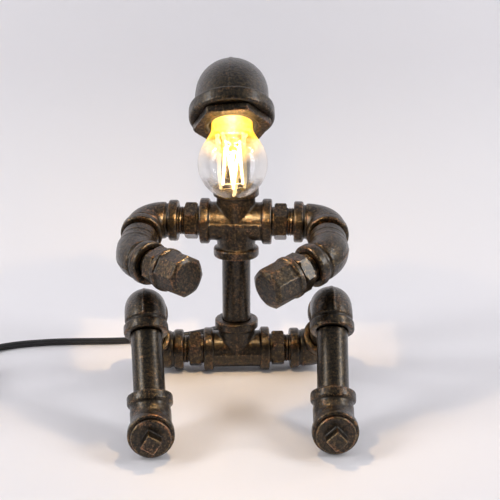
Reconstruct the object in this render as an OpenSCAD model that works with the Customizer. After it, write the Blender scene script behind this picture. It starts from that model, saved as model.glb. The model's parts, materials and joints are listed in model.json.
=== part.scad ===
// Robot-shaped desk lamp built from threaded pipe fittings.
// Millimetres, +Z up. The lamp faces -Y. The origin lies on the table, under the middle of the lamp.

/* [Pipe and threads] */
// Outside diameter of the half-inch pipe
pipe_d = 21.3; // [20.5:0.1:22.5]
// Bore of the half-inch pipe
pipe_bore_d = 15.8; // [12:0.1:17]
// Diameter of the threaded hole in every half-inch port
port_bore_d = 21; // [19.6:0.1:22]
// Radial clearance of a male thread in its port
thread_clearance = 0.05; // [0.02:0.01:0.1]
// Length of male thread inside a port
thread_grip = 12; // [9:0.5:13]
// Depth of the threaded hole in a port
port_depth = 13; // [13:0.1:14]
// Gap between a pipe shoulder and the rim that it points at
shoulder_gap = 0.3; // [0.2:0.05:0.8]
// Distance between two thread crests
thread_pitch = 1.8; // [1.4:0.1:2.4]
// Height of the thread crests that stand clear of a port
thread_height = 0.9; // [0.4:0.1:1.2]

/* [Half-inch fittings] */
// Outside diameter of the rim round an elbow port
rim_d = 30.5; // [29:0.1:33]
// Width of the rim round a port
rim_w = 7; // [5:0.1:9]
// Rounding of the rim edges
rim_round = 1.3; // [0.6:0.1:2]
// Body diameter next to a rim
neck_d = 26.6; // [25:0.1:28]
// Body diameter round the bend of a hip or knee elbow
elbow_dome_d = 28.6; // [27:0.1:29.6]
// Body diameter next to a rim of a shoulder elbow
shoulder_neck_d = 25; // [24:0.1:28]
// Body diameter round the bend of a shoulder elbow
shoulder_dome_d = 27.4; // [26:0.1:29.6]
// Body diameter round the bend of a shallow elbow
shallow_dome_d = 27.2; // [26.8:0.1:29]
// Bend radius of a right-angle elbow
elbow_bend = 15; // [14.9:0.1:16]
// Centre to port face of a right-angle elbow
elbow_reach = 24.5; // [24:0.1:30]
// Diameter of the passage through a fitting
passage_d = 18.6; // [12:0.1:19.4]
// Bend radius of a shallow elbow
shallow_bend = 20; // [18:0.5:22]
// Centre to port face of a shallow elbow
shallow_reach = 19; // [18.5:0.1:24]
// Thickness of the casting seam
seam_w = 1.2; // [0.6:0.1:2]
// How far the casting seam stands proud
seam_h = 0.5; // [0.2:0.1:0.8]

/* [Chest cross] */
// Outside diameter of the rims of the cross
cross_rim_d = 33.8; // [31:0.1:36]
// Centre to port face of the cross
cross_reach = 26.5; // [25.5:0.1:32]
// Body diameter of the cross
cross_neck_d = 28.6; // [27.5:0.1:30]

/* [Pelvis tee] */
// Outside diameter of the rims of the tee
tee_rim_d = 32.8; // [31:0.1:35]
// Centre to port face of the tee
tee_reach = 25; // [24.5:0.1:32]
// Body diameter of the tee
tee_neck_d = 27.6; // [27:0.1:29]

/* [Hex nipples] */
// Width across the flats of a hex nipple
hex_af = 24.3; // [23:0.1:27]
// Length of the hex of a shoulder or hip nipple
hex_len = 9; // [6:0.1:12]
// Length of the plain collar beside the hex
hex_collar_len = 2; // [1:0.1:3]
// Diameter of the plain collar beside the hex
hex_collar_d = 22; // [21.2:0.1:23]
// Length of thread that shows on a shoulder nipple
shoulder_thread_len = 5.2; // [3:0.1:9]
// Length of thread that shows on a hip nipple
hip_thread_len = 4.6; // [3:0.1:9]
// Corner chamfer of a hex
hex_chamfer = 0.8; // [0.3:0.1:1.2]
// Bore of a nipple
nipple_bore_d = 14.4; // [12:0.1:15]

/* [Spine and neck] */
// Height of the cross centre above the tee centre
spine_rise = 101.5; // [90:0.5:130]
// Sideways place of the spine, which centres the uneven arms over the origin
spine_x = 2.5; // [-5:0.5:5]
// Turn of the torso on the pelvis
waist_turn = -5; // [-10:1:10]
// Turn of the neck on the torso
neck_turn = 0; // [-10:1:10]
// Turn of the head on the neck
head_turn = 3; // [-10:1:10]
// Length of pipe that shows between the cross and the neck elbow
neck_pipe_len = 26.5; // [20:0.5:45]
// Bend of the neck elbow
neck_bend = 50; // [44:1:56]
// Length of thread that shows between neck elbow and head
head_thread_len = 2.4; // [2:0.1:6]

/* [Head] */
// Outside diameter of the rim of the head elbow
head_rim_d = 56.5; // [54:0.5:60]
// Width of the rim of the head elbow
head_rim_w = 10; // [8:0.1:13]
// Rounding of the rim edges of the head elbow
head_rim_round = 2.2; // [1:0.1:3]
// Body diameter of the head elbow
head_dome_d = 49; // [47:0.2:50.4]
// Bend radius of the head elbow
head_bend = 25.5; // [25.3:0.1:27]
// Centre to large port face of the head elbow
head_reach = 31.5; // [30:0.5:36]
// Centre to small port face of the head elbow
head_small_reach = 38; // [37:0.5:44]
// Diameter of the cavity in the head
head_cavity_d = 41; // [38:0.2:43]
// Diameter of the threaded hole in the large port
head_port_d = 41.4; // [40:0.1:43]

/* [Bushing] */
// Width across the flats of the bushing hex
bushing_af = 45; // [44:0.5:50]
// Thickness of the bushing hex
bushing_hex_len = 5.2; // [4:0.1:12]
// Turn of the bushing hex in the head
bushing_turn = 5; // [0:1:30]
// Length of the bushing thread inside the head
bushing_thread_len = 12; // [9:0.5:14]
// Bore of the bushing
bushing_bore_d = 34; // [33:0.1:37]
// Gap between the bushing hex and the head rim
bushing_gap = 0.3; // [0.1:0.05:0.6]
// Corner chamfer of the bushing hex
bushing_chamfer = 1.2; // [0.5:0.1:2]

/* [Lamp holder] */
// Wall of the holder shell at its mouth
holder_mouth_wall = 2; // [1.5:0.1:2.2]
// Depth of the holder rim below the face of the bushing
holder_recess = 1; // [0:0.1:3]
// Length of the holder shell
holder_len = 27; // [26.5:0.1:28]
// Thickness of the holder floor
holder_floor = 2.5; // [2:0.1:2.6]
// Depth of the edge of the bulb's cap below the rim of the holder
cap_depth = 1.5; // [1:0.1:2]
// Clearance of the holder in the bushing
holder_clearance = 0.05; // [0.03:0.01:0.2]
// Clearance of the bulb's cap in the screw sleeve
cap_clearance = 0.1; // [0.05:0.01:0.2]
// Wall of the brass screw sleeve
sleeve_wall = 0.5; // [0.3:0.1:0.8]

/* [Bulb] */
// Diameter of the bulb globe
globe_d = 45; // [43:0.5:48]
// Distance from the bushing face to the centre of the globe
globe_out = 26.4; // [25:0.1:34]
// Diameter of the glass neck at the cap
bulb_neck_d = 27.2; // [26.5:0.1:28.4]
// Thickness of the glass
glass_wall = 0.7; // [0.5:0.1:1.2]
// Crest diameter of the bulb's screw cap
cap_d = 26.2; // [25.6:0.1:26.6]
// Length of the bulb's screw cap
cap_len = 18.5; // [16:0.1:19]
// Width of the plain collar at the top of the screw cap
cap_collar_w = 3; // [2:0.1:4]
// Diameter of one filament stick
filament_d = 1.8; // [1:0.1:2.4]
// Length of one filament stick
filament_len = 30; // [16:0.5:31]
// Number of filament sticks
filament_n = 4; // [2:1:6]
// Distance of the filament sticks from the bulb's axis
filament_ring = 6.5; // [4:0.5:8]
// Turn of the ring of filament sticks about the bulb's axis
filament_turn = 20; // [0:5:90]
// Lean of a filament stick
filament_lean = 9; // [0:1:15]
// Radius of the glass stem between the filament sticks
stem_tip_r = 1.4; // [1:0.1:2]

/* [Arms] */
// Slope of the left arm below level
arm_drop_left = 12; // [0:1:30]
// Slope of the right arm below level
arm_drop_right = 9; // [0:1:30]
// Upward turn of the left forearm
forearm_turn_left = 10; // [-30:1:30]
// Upward turn of the right forearm
forearm_turn_right = -9; // [-30:1:30]
// Bend of a forearm elbow
forearm_bend = 47.5; // [44:1:52]
// Length of thread that shows between shoulder elbow and forearm
forearm_thread_len = 4; // [3:0.5:12]
// Length of the forearm shank
shank_len = 18.5; // [14:0.5:30]
// Diameter of the forearm shank
shank_d = 26.4; // [25:0.1:27.4]
// Diameter of the collar at the end of the shank
shank_collar_d = 28.6; // [27.6:0.1:30]
// Width of the collar at the end of the shank
shank_collar_w = 3.4; // [2:0.1:5]
// Body diameter round the bend of a forearm elbow
forearm_dome_d = 28.2; // [27.4:0.1:29]

/* [Hands] */
// Length of thread that shows at the wrist
wrist_thread_len = 5; // [2:0.1:8]
// Length of the hex at the wrist
wrist_hex_len = 8; // [5:0.1:12]
// Width across the flats of the hand cap
cap_af = 26.4; // [25:0.1:28]
// Length of the hand cap
hand_cap_len = 23.5; // [18:0.5:28]
// Diameter of the round collar of the hand cap
hand_collar_d = 29.6; // [28:0.1:31]
// Width of the round collar of the hand cap
hand_collar_w = 4.5; // [3:0.1:7]
// Chamfer round the end of the hand cap
hand_chamfer = 2.6; // [1:0.1:4]
// Number of flats on the hand cap
hand_flats = 8; // [6:1:10]

/* [Legs] */
// Rise of the thighs above level
thigh_rise = 45; // [35:1:55]
// Distance from the hip elbow centre to the knee elbow centre
thigh_len = 86; // [70:0.5:110]
// Inward turn of the left lower leg about its thigh
knee_turn_left = 4; // [0:1:8]
// Inward turn of the right lower leg about its thigh
knee_turn_right = 3; // [0:1:8]
// Bend of a foot elbow
foot_bend = 45; // [45:1:48]

/* [Foot plugs] */
// Diameter of the round head of a foot plug
plug_disc_d = 26; // [23:0.1:29]
// Thickness of the round head of a foot plug
plug_disc_w = 3.2; // [3:0.1:6]
// Width of the square of a foot plug
plug_square = 10; // [9:0.1:14]
// Length of the square of a foot plug
plug_square_len = 8.5; // [6:0.1:12]
// Turn of the square on the left foot plug
plug_turn_left = 30; // [0:5:90]
// Turn of the square on the right foot plug
plug_turn_right = 45; // [0:5:90]

/* [Cord] */
// Diameter of the cord
cord_d = 5.8; // [5:0.1:7]
// Diameter of one inner wire
lead_d = 2.4; // [2:0.1:3]
// Length of the tapered strain relief
relief_len = 20; // [20:0.5:30]
// Diameter of the flange of the strain relief
relief_flange_d = 15; // [12:0.5:18]
// Diameter of the hole for the strain relief
relief_hole_d = 10; // [8:0.1:12]
// Clearance of the strain relief in its hole
relief_clearance = 0.05; // [0.03:0.01:0.2]
// Width of the strap round the coil
tie_w = 6; // [4:0.5:12]
// Thickness of the strap round the coil
tie_wall = 0.8; // [0.4:0.1:1.2]
// Length of the switch case
switch_len = 58; // [50:0.5:70]
// Width of the switch case
switch_w = 21; // [18:0.5:26]
// Height of the switch case
switch_h = 15; // [13:0.5:18]
// Length of the tapered sleeve at each end of the switch
switch_sleeve_len = 6; // [5:0.5:10]
// Length of the rocker
rocker_len = 17; // [14:0.5:20]
// Width of the rocker
rocker_w = 11; // [9:0.5:13]
// Tilt of the rocker at rest
rocker_tilt = 8; // [6:1:10]
// Diameter of the rocker's pin
rocker_pin_d = 3; // [2:0.1:4]
// How far the pin reaches into the case on both sides
rocker_pin_in = 1.5; // [1:0.1:2.5]
// Radial clearance of the pin in the case
rocker_pin_gap = 0.15; // [0.1:0.05:0.3]
// Clearance of the rocker in its well
rocker_gap = 0.4; // [0.2:0.1:0.6]
// Depth of the rocker's pin below the top of the case
rocker_pin_depth = 3; // [2.5:0.1:4]
// Length of the tapered sleeve of the plug
plug_sleeve_len = 12; // [8:0.5:20]
// Length of the plug body
plug_len = 33; // [30:0.5:40]
// Width of the plug body
plug_w = 35; // [32:0.5:37]
// Height of the plug body
plug_h = 13.6; // [12:0.1:15]
// Diameter of a plug pin
pin_d = 4; // [4:0.1:4.8]
// Length of a plug pin
pin_len = 19; // [17:0.5:20]
// Distance between the plug pins
pin_spacing = 18.6; // [17:0.1:19.4]

/* [Hidden] */

$fn = 64;
eps = 0.01;
// How far the straight part of a fitting reaches into its bend
lap = 1.5;

bronze = [0.20, 0.14, 0.10];
bronze_light = [0.30, 0.20, 0.13];
brass = [0.80, 0.62, 0.28];
black_plastic = [0.06, 0.06, 0.06];
steel = [0.62, 0.62, 0.60];

// Half-inch threads and passages
thread_r = port_bore_d / 2 - thread_clearance;
port_r = port_bore_d / 2;
passage_r = passage_d / 2;
nipple_bore_r = nipple_bore_d / 2;
lead_r = lead_d / 2;
rocker_pivot_z = switch_h - rocker_pin_depth;
port_chamfer = 0.8;

// Lengths that show between two fittings
shoulder_span = hex_collar_len + hex_len + shoulder_thread_len;
hip_span = hex_collar_len + hex_len + hip_thread_len;
wrist_span = hex_collar_len + wrist_hex_len + wrist_thread_len;

// Places of the pelvis, chest and limbs
pelvis_z = tee_rim_d / 2;
hip_x = tee_reach + hip_span + elbow_reach;
shoulder_x = cross_reach + shoulder_span + elbow_reach;
chest_z = pelvis_z + spine_rise;
foot_z = rim_d / 2;
shank_tail = shallow_bend * tan(forearm_bend / 2) + 1;
forearm_out = elbow_reach + forearm_thread_len + shank_len + shank_tail;
neck_rise = cross_reach + neck_pipe_len + shallow_reach;
head_out = shallow_reach + head_thread_len + head_small_reach;
bushing_face = head_reach + bushing_gap + bushing_hex_len;

// The lamp's depth, which centres it over the origin
plug_out = plug_disc_w + plug_square_len + shoulder_gap;
front_y = thigh_len * cos(thigh_rise)
    + max([for (side = [-1, 1]) shin_len(side) * sin(thigh_rise) * cos(knee_turn(side))
        + (shallow_reach + plug_out) * cos(knee_turn(side))]);
back_y = cross_rim_d / 2;
spine_y = (front_y - back_y) / 2;

// Strain relief at the back of the tee
relief_seat = tee_neck_d / 2 - 0.8;
relief_flange_w = 2;
relief_end = relief_seat + relief_flange_w + relief_len;

// Lamp holder and bulb, measured along the bulb's axis from the head centre
holder_r = bushing_bore_d / 2 - holder_clearance;
sleeve_r = cap_d / 2 + cap_clearance + sleeve_wall;
holder_top = bushing_face - holder_recess;
holder_bottom = holder_top - holder_len;
globe_z = bushing_face + globe_out;
cap_top = holder_top - cap_depth;
cap_bottom = cap_top - cap_len;
stem_top = globe_z + filament_len / 2 - 1;
tip_len = 3.4;
contact_top = cap_bottom - tip_len;

// Free cord: route points along its centre line. It lies on the table at z = cord_r.
cord_r = cord_d / 2;
cord_z = switch_h / 2;
switch_in_y = 68;
lead_route = [
    [spine_x, spine_y + relief_end, pelvis_z], [spine_x, 112, 15.6], [-4, 121, 13], [-12, 127, 9.4],
    [-24, 129.6, 5.8], [-38, 129, 3.6], [-54, 126.4, cord_r], [-72, 123, cord_r], [-90, 120.6, cord_r],
    [-110, 120.2, cord_r], [-130, 120.4, cord_r], [-148, 119.6, cord_r], [-166, 117, cord_r],
    [-178, 113.8, cord_r], [-188.6, 109, 3], [-197, 101.6, 3.6], [-202.4, 92, 4.8],
    [-204.8, 81.6, 6.6], [-205, 74, cord_z], [-205, switch_in_y, cord_z]
];
switch_at = [-205, switch_in_y - switch_sleeve_len - switch_len / 2];
switch_out_y = switch_in_y - switch_len - 2 * switch_sleeve_len;
link_route = [
    [-205, switch_out_y, cord_z], [-205, switch_out_y - 6, 7], [-203.6, -14, 5.4],
    [-200, -27, 3.8], [-196.4, -38, cord_r], [-194.6, -46, cord_r]
];
coil_at = [-235, -60];
coil_r = 32;
coil_width = 4 * cord_d;
coil_height = 1.9 * cord_d;
tie_angle = 270;
tail_x = coil_at[0] - coil_r - 1.5 * cord_d;
plug_y = -12;
tail_route = [
    [tail_x, -46, coil_height - cord_r], [tail_x, -36, 7.8], [tail_x, -26, 7.2],
    [tail_x, -18, plug_h / 2], [tail_x, plug_y, plug_h / 2]
];

// ---------- functions ----------

function knee_turn(side) = side > 0 ? knee_turn_right : knee_turn_left;
// Distance from the knee elbow centre to the foot elbow centre, with the foot on the table
function shin_len(side) =
    (thigh_len * sin(thigh_rise) + pelvis_z - foot_z) / (cos(thigh_rise) * cos(knee_turn(side)));
function unit(v) = v / norm(v);
function tangent(p, i) =
    i == 0 ? unit(p[1] - p[0]) :
    i == len(p) - 1 ? unit(p[i] - p[i - 1]) :
    unit(p[i + 1] - p[i - 1]);

// ---------- general shapes ----------

// Tube swept along a list of points
module swept_tube(points, r, sides) {
    rings = [for (i = [0 : len(points) - 1])
        let (t = tangent(points, i), flat = abs(t[2]) < 0.9 ? [0, 0, 1] : [0, 1, 0],
            u = unit(cross(flat, t)), v = cross(t, u))
        [for (k = [0 : sides - 1]) points[i] + r * (cos(360 * k / sides) * u + sin(360 * k / sides) * v)]];
    count = len(points);
    polyhedron(
        points = [for (ring = rings, p = ring) p],
        faces = concat(
            [[for (k = [0 : sides - 1]) k]],
            [[for (k = [0 : sides - 1]) (count - 1) * sides + sides - 1 - k]],
            [for (i = [0 : count - 2], k = [0 : sides - 1]) let (n = (k + 1) % sides)
                [i * sides + k, (i + 1) * sides + k, (i + 1) * sides + n, i * sides + n]]),
        convexity = 10);
}

// Cylinder from one height to another along +Z
module bar(r, from, to) {
    translate([0, 0, from]) cylinder(r = r, h = to - from);
}

// Round rim whose outer face lies at height to
module rim(d, w, to, round_r) {
    translate([0, 0, to - w]) rotate_extrude() {
        translate([0, round_r]) square([d / 2, w - 2 * round_r]);
        square([d / 2 - round_r, w]);
        translate([d / 2 - round_r, round_r]) circle(r = round_r);
        translate([d / 2 - round_r, w - round_r]) circle(r = round_r);
    }
}

// Hexagonal or other flat-sided bar with chamfered corners
module flats(af, sides, from, to, chamfer) {
    corner_r = af / 2 / cos(180 / sides);
    intersection() {
        translate([0, 0, from]) cylinder(r = corner_r, h = to - from, $fn = sides);
        rotate_extrude() polygon([
            [0, from], [corner_r - chamfer, from], [corner_r + eps, from + chamfer],
            [corner_r + eps, to - chamfer], [corner_r - chamfer, to], [0, to]
        ]);
    }
}

// Rows of thread crests on a bar of root radius
module thread_rows(crest_r, from, to) {
    rows = max(1, floor((to - from) / thread_pitch));
    pitch = (to - from) / rows;
    root_r = crest_r - thread_height;
    bar(root_r, from, to);
    for (i = [0 : rows - 1]) translate([0, 0, from + i * pitch]) rotate_extrude()
        polygon([
            [0, 0.1 * pitch], [root_r - 0.1, 0.1 * pitch], [crest_r, 0.42 * pitch],
            [crest_r, 0.58 * pitch], [root_r - 0.1, 0.9 * pitch], [0, 0.9 * pitch]
        ]);
}

// Threaded hole whose mouth is at height face, going down
module port_hole(face) {
    bar(port_r, face - port_depth, face + 1);
    translate([0, 0, face - port_chamfer])
        cylinder(r1 = port_r, r2 = port_r + port_chamfer + eps, h = port_chamfer + eps);
}

// One branch of a fitting: neck and rim up to its port face, along +Z
module branch(neck, rim_dia, from, face) {
    bar(neck / 2, from, face - rim_round - 1);
    rim(rim_dia, rim_w, face, rim_round);
}

// Part of a ring between +Z and the direction turned from +Z towards +X by angle, tangent to both
module bend_arc(bend, angle, r) {
    translate([bend, 0, -bend * tan(angle / 2)]) rotate([90, 0, 180])
        rotate_extrude(angle = angle) translate([bend, 0]) circle(r = r);
}

// Casting seam along the outside of a bend
module bend_seam(bend, angle, r) {
    translate([bend, 0, -bend * tan(angle / 2)]) rotate([90, 0, 180])
        rotate_extrude(angle = angle)
            translate([bend + r - 1, -seam_w / 2]) square([1 + seam_h, seam_w]);
}

// Turns +Z towards +X
module turned(angle) {
    rotate([0, angle, 0]) children();
}

// ---------- fittings ----------

// Right-angle elbow: ports along +X and +Z
module right_elbow(dome_dia, neck_dia) {
    difference() {
        union() {
            mirror([0, 0, 1]) bend_arc(elbow_bend, 90, dome_dia / 2);
            mirror([0, 0, 1]) bend_seam(elbow_bend, 90, dome_dia / 2);
            for (a = [0, 90]) turned(a)
                branch(neck_dia, rim_d, elbow_bend - lap, elbow_reach);
        }
        mirror([0, 0, 1]) bend_arc(elbow_bend, 90, passage_r - 0.2);
        for (a = [0, 90]) turned(a) {
            bar(passage_r, elbow_bend - lap, elbow_reach);
            port_hole(elbow_reach);
        }
    }
}

// Shallow elbow: inlet from -Z, outlet turned towards +X by angle; both ends have ports
module shallow_elbow(angle) {
    arc_start = shallow_bend * tan(angle / 2);
    difference() {
        union() {
            bend_arc(shallow_bend, angle, shallow_dome_d / 2);
            bend_seam(shallow_bend, angle, shallow_dome_d / 2);
            rotate([180, 0, 0]) branch(neck_d, rim_d, arc_start - lap, shallow_reach);
            turned(angle) branch(neck_d, rim_d, arc_start - lap, shallow_reach);
        }
        bend_arc(shallow_bend, angle, passage_r - 0.2);
        rotate([180, 0, 0]) shallow_hole(arc_start);
        turned(angle) shallow_hole(arc_start);
    }
}

module shallow_hole(arc_start) {
    bar(passage_r, arc_start - lap, shallow_reach);
    port_hole(shallow_reach);
}

// Forearm elbow: male shank from -Z, port at the outlet; origin at the bend centre
module forearm() {
    arc_start = shallow_bend * tan(forearm_bend / 2);
    thread_top = -shank_tail - shank_len;
    thread_bottom = thread_top - forearm_thread_len;
    difference() {
        union() {
            bend_arc(shallow_bend, forearm_bend, forearm_dome_d / 2);
            bend_seam(shallow_bend, forearm_bend, forearm_dome_d / 2);
            turned(forearm_bend) branch(neck_d, rim_d, arc_start - lap, shallow_reach);
            bar(forearm_dome_d / 2 - 0.2, -shank_tail - 1, -arc_start + lap);
            rim(shank_collar_d, shank_collar_w, -shank_tail + 0.5, 0.9);
            rim(shank_d, shank_len, -shank_tail, 1);
            rim(shank_d + 1, 1.6, -shank_tail - shank_len / 2, 0.7);
            thread_rows(thread_r, thread_bottom, thread_top + 1);
            bar(thread_r, thread_bottom - thread_grip, thread_bottom);
        }
        bend_arc(shallow_bend, forearm_bend, nipple_bore_r - 0.2);
        bar(nipple_bore_r, thread_bottom - thread_grip - 1, -arc_start + lap);
        turned(forearm_bend) shallow_hole(arc_start);
    }
}

// Hex nipple along +Z: thread, collar and hex from the face at 0, then thread up to span
module hex_nipple(collar_len, hex_l, span) {
    difference() {
        union() {
            bar(thread_r, -thread_grip, collar_len);
            bar(hex_collar_d / 2, shoulder_gap, collar_len + 1);
            flats(hex_af, 6, collar_len, collar_len + hex_l, hex_chamfer);
            thread_rows(thread_r, collar_len + hex_l - 1, span);
            bar(thread_r, span, span + thread_grip);
        }
        bar(nipple_bore_r, -thread_grip - 1, span + thread_grip + 1);
    }
}

// Plain pipe along +Z from the port face at 0 to the port face at span
module pipe(span) {
    difference() {
        union() {
            bar(thread_r, -thread_grip, span + thread_grip);
            bar(pipe_d / 2, shoulder_gap, span - shoulder_gap);
        }
        bar(pipe_bore_d / 2, -thread_grip - 1, span + thread_grip + 1);
    }
}

// ---------- places of the limbs ----------

module at_pelvis() {
    translate([spine_x, spine_y, pelvis_z]) children();
}

module at_chest() {
    translate([spine_x, spine_y, chest_z]) rotate([0, 0, waist_turn]) children();
}

// Side -1 is the left of the picture, side 1 the right. +X points at the lamp's middle.
module on_side(side) {
    if (side > 0) mirror([1, 0, 0]) children();
    else children();
}

// Hip centre, +Z up the thigh
module at_hip(side) {
    at_pelvis() on_side(side) translate([-hip_x, 0, 0]) rotate([90 - thigh_rise, 0, 0]) children();
}

// Knee centre, +Z down the shin
module at_knee(side) {
    at_hip(side) translate([0, 0, thigh_len]) rotate([0, 0, knee_turn(side)])
        rotate([90, 0, 0]) children();
}

// Foot centre, +Z down the shin, +Y where the toe turns to
module at_foot(side) {
    at_knee(side) translate([0, 0, shin_len(side)]) children();
}

// Centre of the toe port, +Z out of it
module at_toe(side) {
    at_foot(side) rotate([-foot_bend, 0, 0]) children();
}

// Shoulder centre, +Z along the arm
module at_shoulder(side) {
    drop = side > 0 ? arm_drop_right : arm_drop_left;
    at_chest() on_side(side) translate([-shoulder_x, 0, 0]) rotate([90 + drop, 0, 0]) children();
}

// Bend centre of the forearm
module at_forearm(side) {
    turn = side > 0 ? forearm_turn_right : forearm_turn_left;
    at_shoulder(side) translate([0, 0, forearm_out]) rotate([0, 0, turn]) children();
}

// Wrist port centre line, +Z out of the hand
module at_wrist(side) {
    at_forearm(side) turned(forearm_bend) children();
}

// Bend centre of the neck elbow
module at_neck() {
    at_chest() rotate([0, 0, neck_turn]) translate([0, 0, neck_rise]) children();
}

// Head centre, +Z away from the neck
module at_head() {
    at_neck() rotate([neck_bend, 0, 0]) rotate([0, 0, head_turn]) translate([0, 0, head_out]) children();
}

// Head centre, +Z along the bulb
module at_bulb() {
    at_head() rotate([90, 0, 0]) children();
}

// ---------- pelvis and legs ----------

module pelvis_tee() color(bronze) at_pelvis() {
    difference() {
        union() {
            sphere(r = tee_neck_d / 2);
            for (a = [-90, 0, 90]) turned(a) branch(tee_neck_d, tee_rim_d, 0, tee_reach);
            cross_seam([-90, 0, 90], tee_neck_d / 2, tee_reach - rim_w);
        }
        for (a = [-90, 0, 90]) turned(a) {
            bar(passage_r, 0, tee_reach);
            port_hole(tee_reach);
        }
        rotate([-90, 0, 0]) bar(relief_hole_d / 2, 0, tee_rim_d);
        rotate([-90, 0, 0]) bar(relief_flange_d / 2 + 1, relief_seat, tee_rim_d);
    }
}

// Casting seam on the front of a straight fitting, along each branch
module cross_seam(angles, r, to) {
    for (a = angles) turned(a)
        translate([-seam_w / 2, -r - seam_h, 0]) cube([seam_w, seam_h + 2, to]);
}

module hip_nipple(side) color(bronze_light) at_pelvis() on_side(side)
    translate([-tee_reach, 0, 0]) turned(-90) hex_nipple(hex_collar_len, hex_len, hip_span);

module hip_elbow(side) color(bronze) at_hip(side) right_elbow(elbow_dome_d, neck_d);

module thigh_pipe(side) color(bronze) at_hip(side)
    translate([0, 0, elbow_reach]) pipe(thigh_len - 2 * elbow_reach);

module knee_elbow(side) color(bronze) at_knee(side) rotate([0, 0, -90])
    right_elbow(elbow_dome_d, neck_d);

module shin_pipe(side) color(bronze) at_knee(side)
    translate([0, 0, elbow_reach]) pipe(shin_len(side) - elbow_reach - shallow_reach);

module foot_elbow(side) color(bronze) at_foot(side) rotate([0, 0, 90])
    shallow_elbow(foot_bend);

module foot_plug(side) color(bronze_light) at_toe(side) {
    face = shallow_reach;
    turn = side > 0 ? plug_turn_right : plug_turn_left;
    rim(plug_disc_d, plug_disc_w, face + shoulder_gap + plug_disc_w, 0.9);
    bar(thread_r, face - thread_grip, face + 1);
    rotate([0, 0, turn]) flats(plug_square, 4, face + 2, face + plug_out, 0.8);
}

// ---------- torso ----------

module spine_pipe() color(bronze) translate([spine_x, spine_y, pelvis_z + tee_reach])
    pipe(spine_rise - tee_reach - cross_reach);

module chest_cross() color(bronze) at_chest() {
    branches = [-90, 0, 90, 180];
    difference() {
        union() {
            sphere(r = cross_neck_d / 2);
            for (a = branches) turned(a) branch(cross_neck_d, cross_rim_d, 0, cross_reach);
            cross_seam([-90, 90, 180], cross_neck_d / 2, cross_reach - rim_w);
        }
        for (a = branches) turned(a) {
            bar(passage_r, 0, cross_reach);
            port_hole(cross_reach);
        }
    }
}

module shoulder_nipple(side) color(bronze_light) at_chest() on_side(side)
    translate([-cross_reach, 0, 0]) turned(-90)
        hex_nipple(hex_collar_len, hex_len, shoulder_span);

// ---------- arms ----------

module shoulder_elbow(side) color(bronze) at_shoulder(side)
    right_elbow(shoulder_dome_d, shoulder_neck_d);

module forearm_part(side) color(bronze) at_forearm(side) forearm();

module wrist_nipple(side) color(bronze_light) at_wrist(side)
    translate([0, 0, shallow_reach + wrist_span]) rotate([180, 0, 0])
        hex_nipple(hex_collar_len, wrist_hex_len, wrist_span);

module hand_cap(side) color(bronze) at_wrist(side)
    translate([0, 0, shallow_reach + wrist_span]) difference() {
        union() {
            rim(hand_collar_d, hand_collar_w, hand_collar_w, 1);
            hand_body();
        }
        bar(port_r, -1, thread_grip + 1);
        translate([0, 0, -eps]) cylinder(r1 = port_r + port_chamfer, r2 = port_r, h = port_chamfer);
    }

// Flat-sided end of the hand cap
module hand_body() {
    corner_r = cap_af / 2 / cos(180 / hand_flats);
    intersection() {
        bar_of_flats(corner_r, hand_flats, 1, hand_cap_len);
        rotate_extrude() polygon([
            [0, 1], [corner_r + 1, 1], [corner_r + 1, hand_cap_len - hand_chamfer],
            [cap_af / 2 - hand_chamfer, hand_cap_len], [0, hand_cap_len]
        ]);
    }
}

module bar_of_flats(corner_r, sides, from, to) {
    rotate([0, 0, 180 / sides]) translate([0, 0, from])
        cylinder(r = corner_r, h = to - from, $fn = sides);
}

// ---------- neck and head ----------

module neck_pipe() color(bronze) at_chest() translate([0, 0, cross_reach]) pipe(neck_pipe_len);

module neck_elbow() color(bronze) at_neck() rotate([0, 0, -90])
    shallow_elbow(neck_bend);

module head_nipple() color(bronze_light) at_neck() rotate([neck_bend, 0, 0])
    translate([0, 0, shallow_reach]) difference() {
        union() {
            bar(thread_r, -thread_grip, 0);
            thread_rows(thread_r, 0, head_thread_len);
            bar(thread_r, head_thread_len, head_thread_len + thread_grip);
        }
        bar(nipple_bore_r, -thread_grip - 1, head_thread_len + thread_grip + 1);
    }

// Reducing elbow: small port along -Z, large port along -Y
module head_elbow() color(bronze) at_head() rotate([0, 0, -90]) {
    dome_r = head_dome_d / 2;
    difference() {
        union() {
            bend_arc(head_bend, 90, dome_r);
            bend_seam(head_bend, 90, dome_r);
            turned(90) bar(dome_r - 0.2, head_bend - lap, head_reach - head_rim_round - 1);
            turned(90) rim(head_rim_d, head_rim_w, head_reach, head_rim_round);
            rotate([180, 0, 0]) {
                translate([0, 0, head_bend - lap])
                    cylinder(r1 = dome_r - 0.2, r2 = neck_d / 2, h = head_small_reach - head_bend - rim_w + lap);
                branch(neck_d, rim_d, head_bend, head_small_reach);
            }
        }
        bend_arc(head_bend, 90, head_cavity_d / 2);
        turned(90) bar(head_cavity_d / 2 + 0.1, head_bend - lap, head_reach);
        turned(90) bar(head_port_d / 2, head_reach - bushing_thread_len - 1, head_reach + 1);
        rotate([180, 0, 0]) {
            bar(passage_r, 0, head_small_reach);
            port_hole(head_small_reach);
        }
    }
}

module head_bushing() color(bronze_light) at_bulb() {
    hex_from = head_reach + bushing_gap;
    difference() {
        union() {
            rotate([0, 0, bushing_turn]) flats(bushing_af, 6, hex_from, bushing_face, bushing_chamfer);
            bar(head_port_d / 2 - thread_clearance, head_reach - bushing_thread_len, hex_from + 1);
        }
        bar(bushing_bore_d / 2, head_reach - bushing_thread_len - 1, bushing_face + 1);
        translate([0, 0, bushing_face - 1])
            cylinder(r1 = bushing_bore_d / 2, r2 = bushing_bore_d / 2 + 1 + eps, h = 1 + eps);
    }
}

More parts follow.
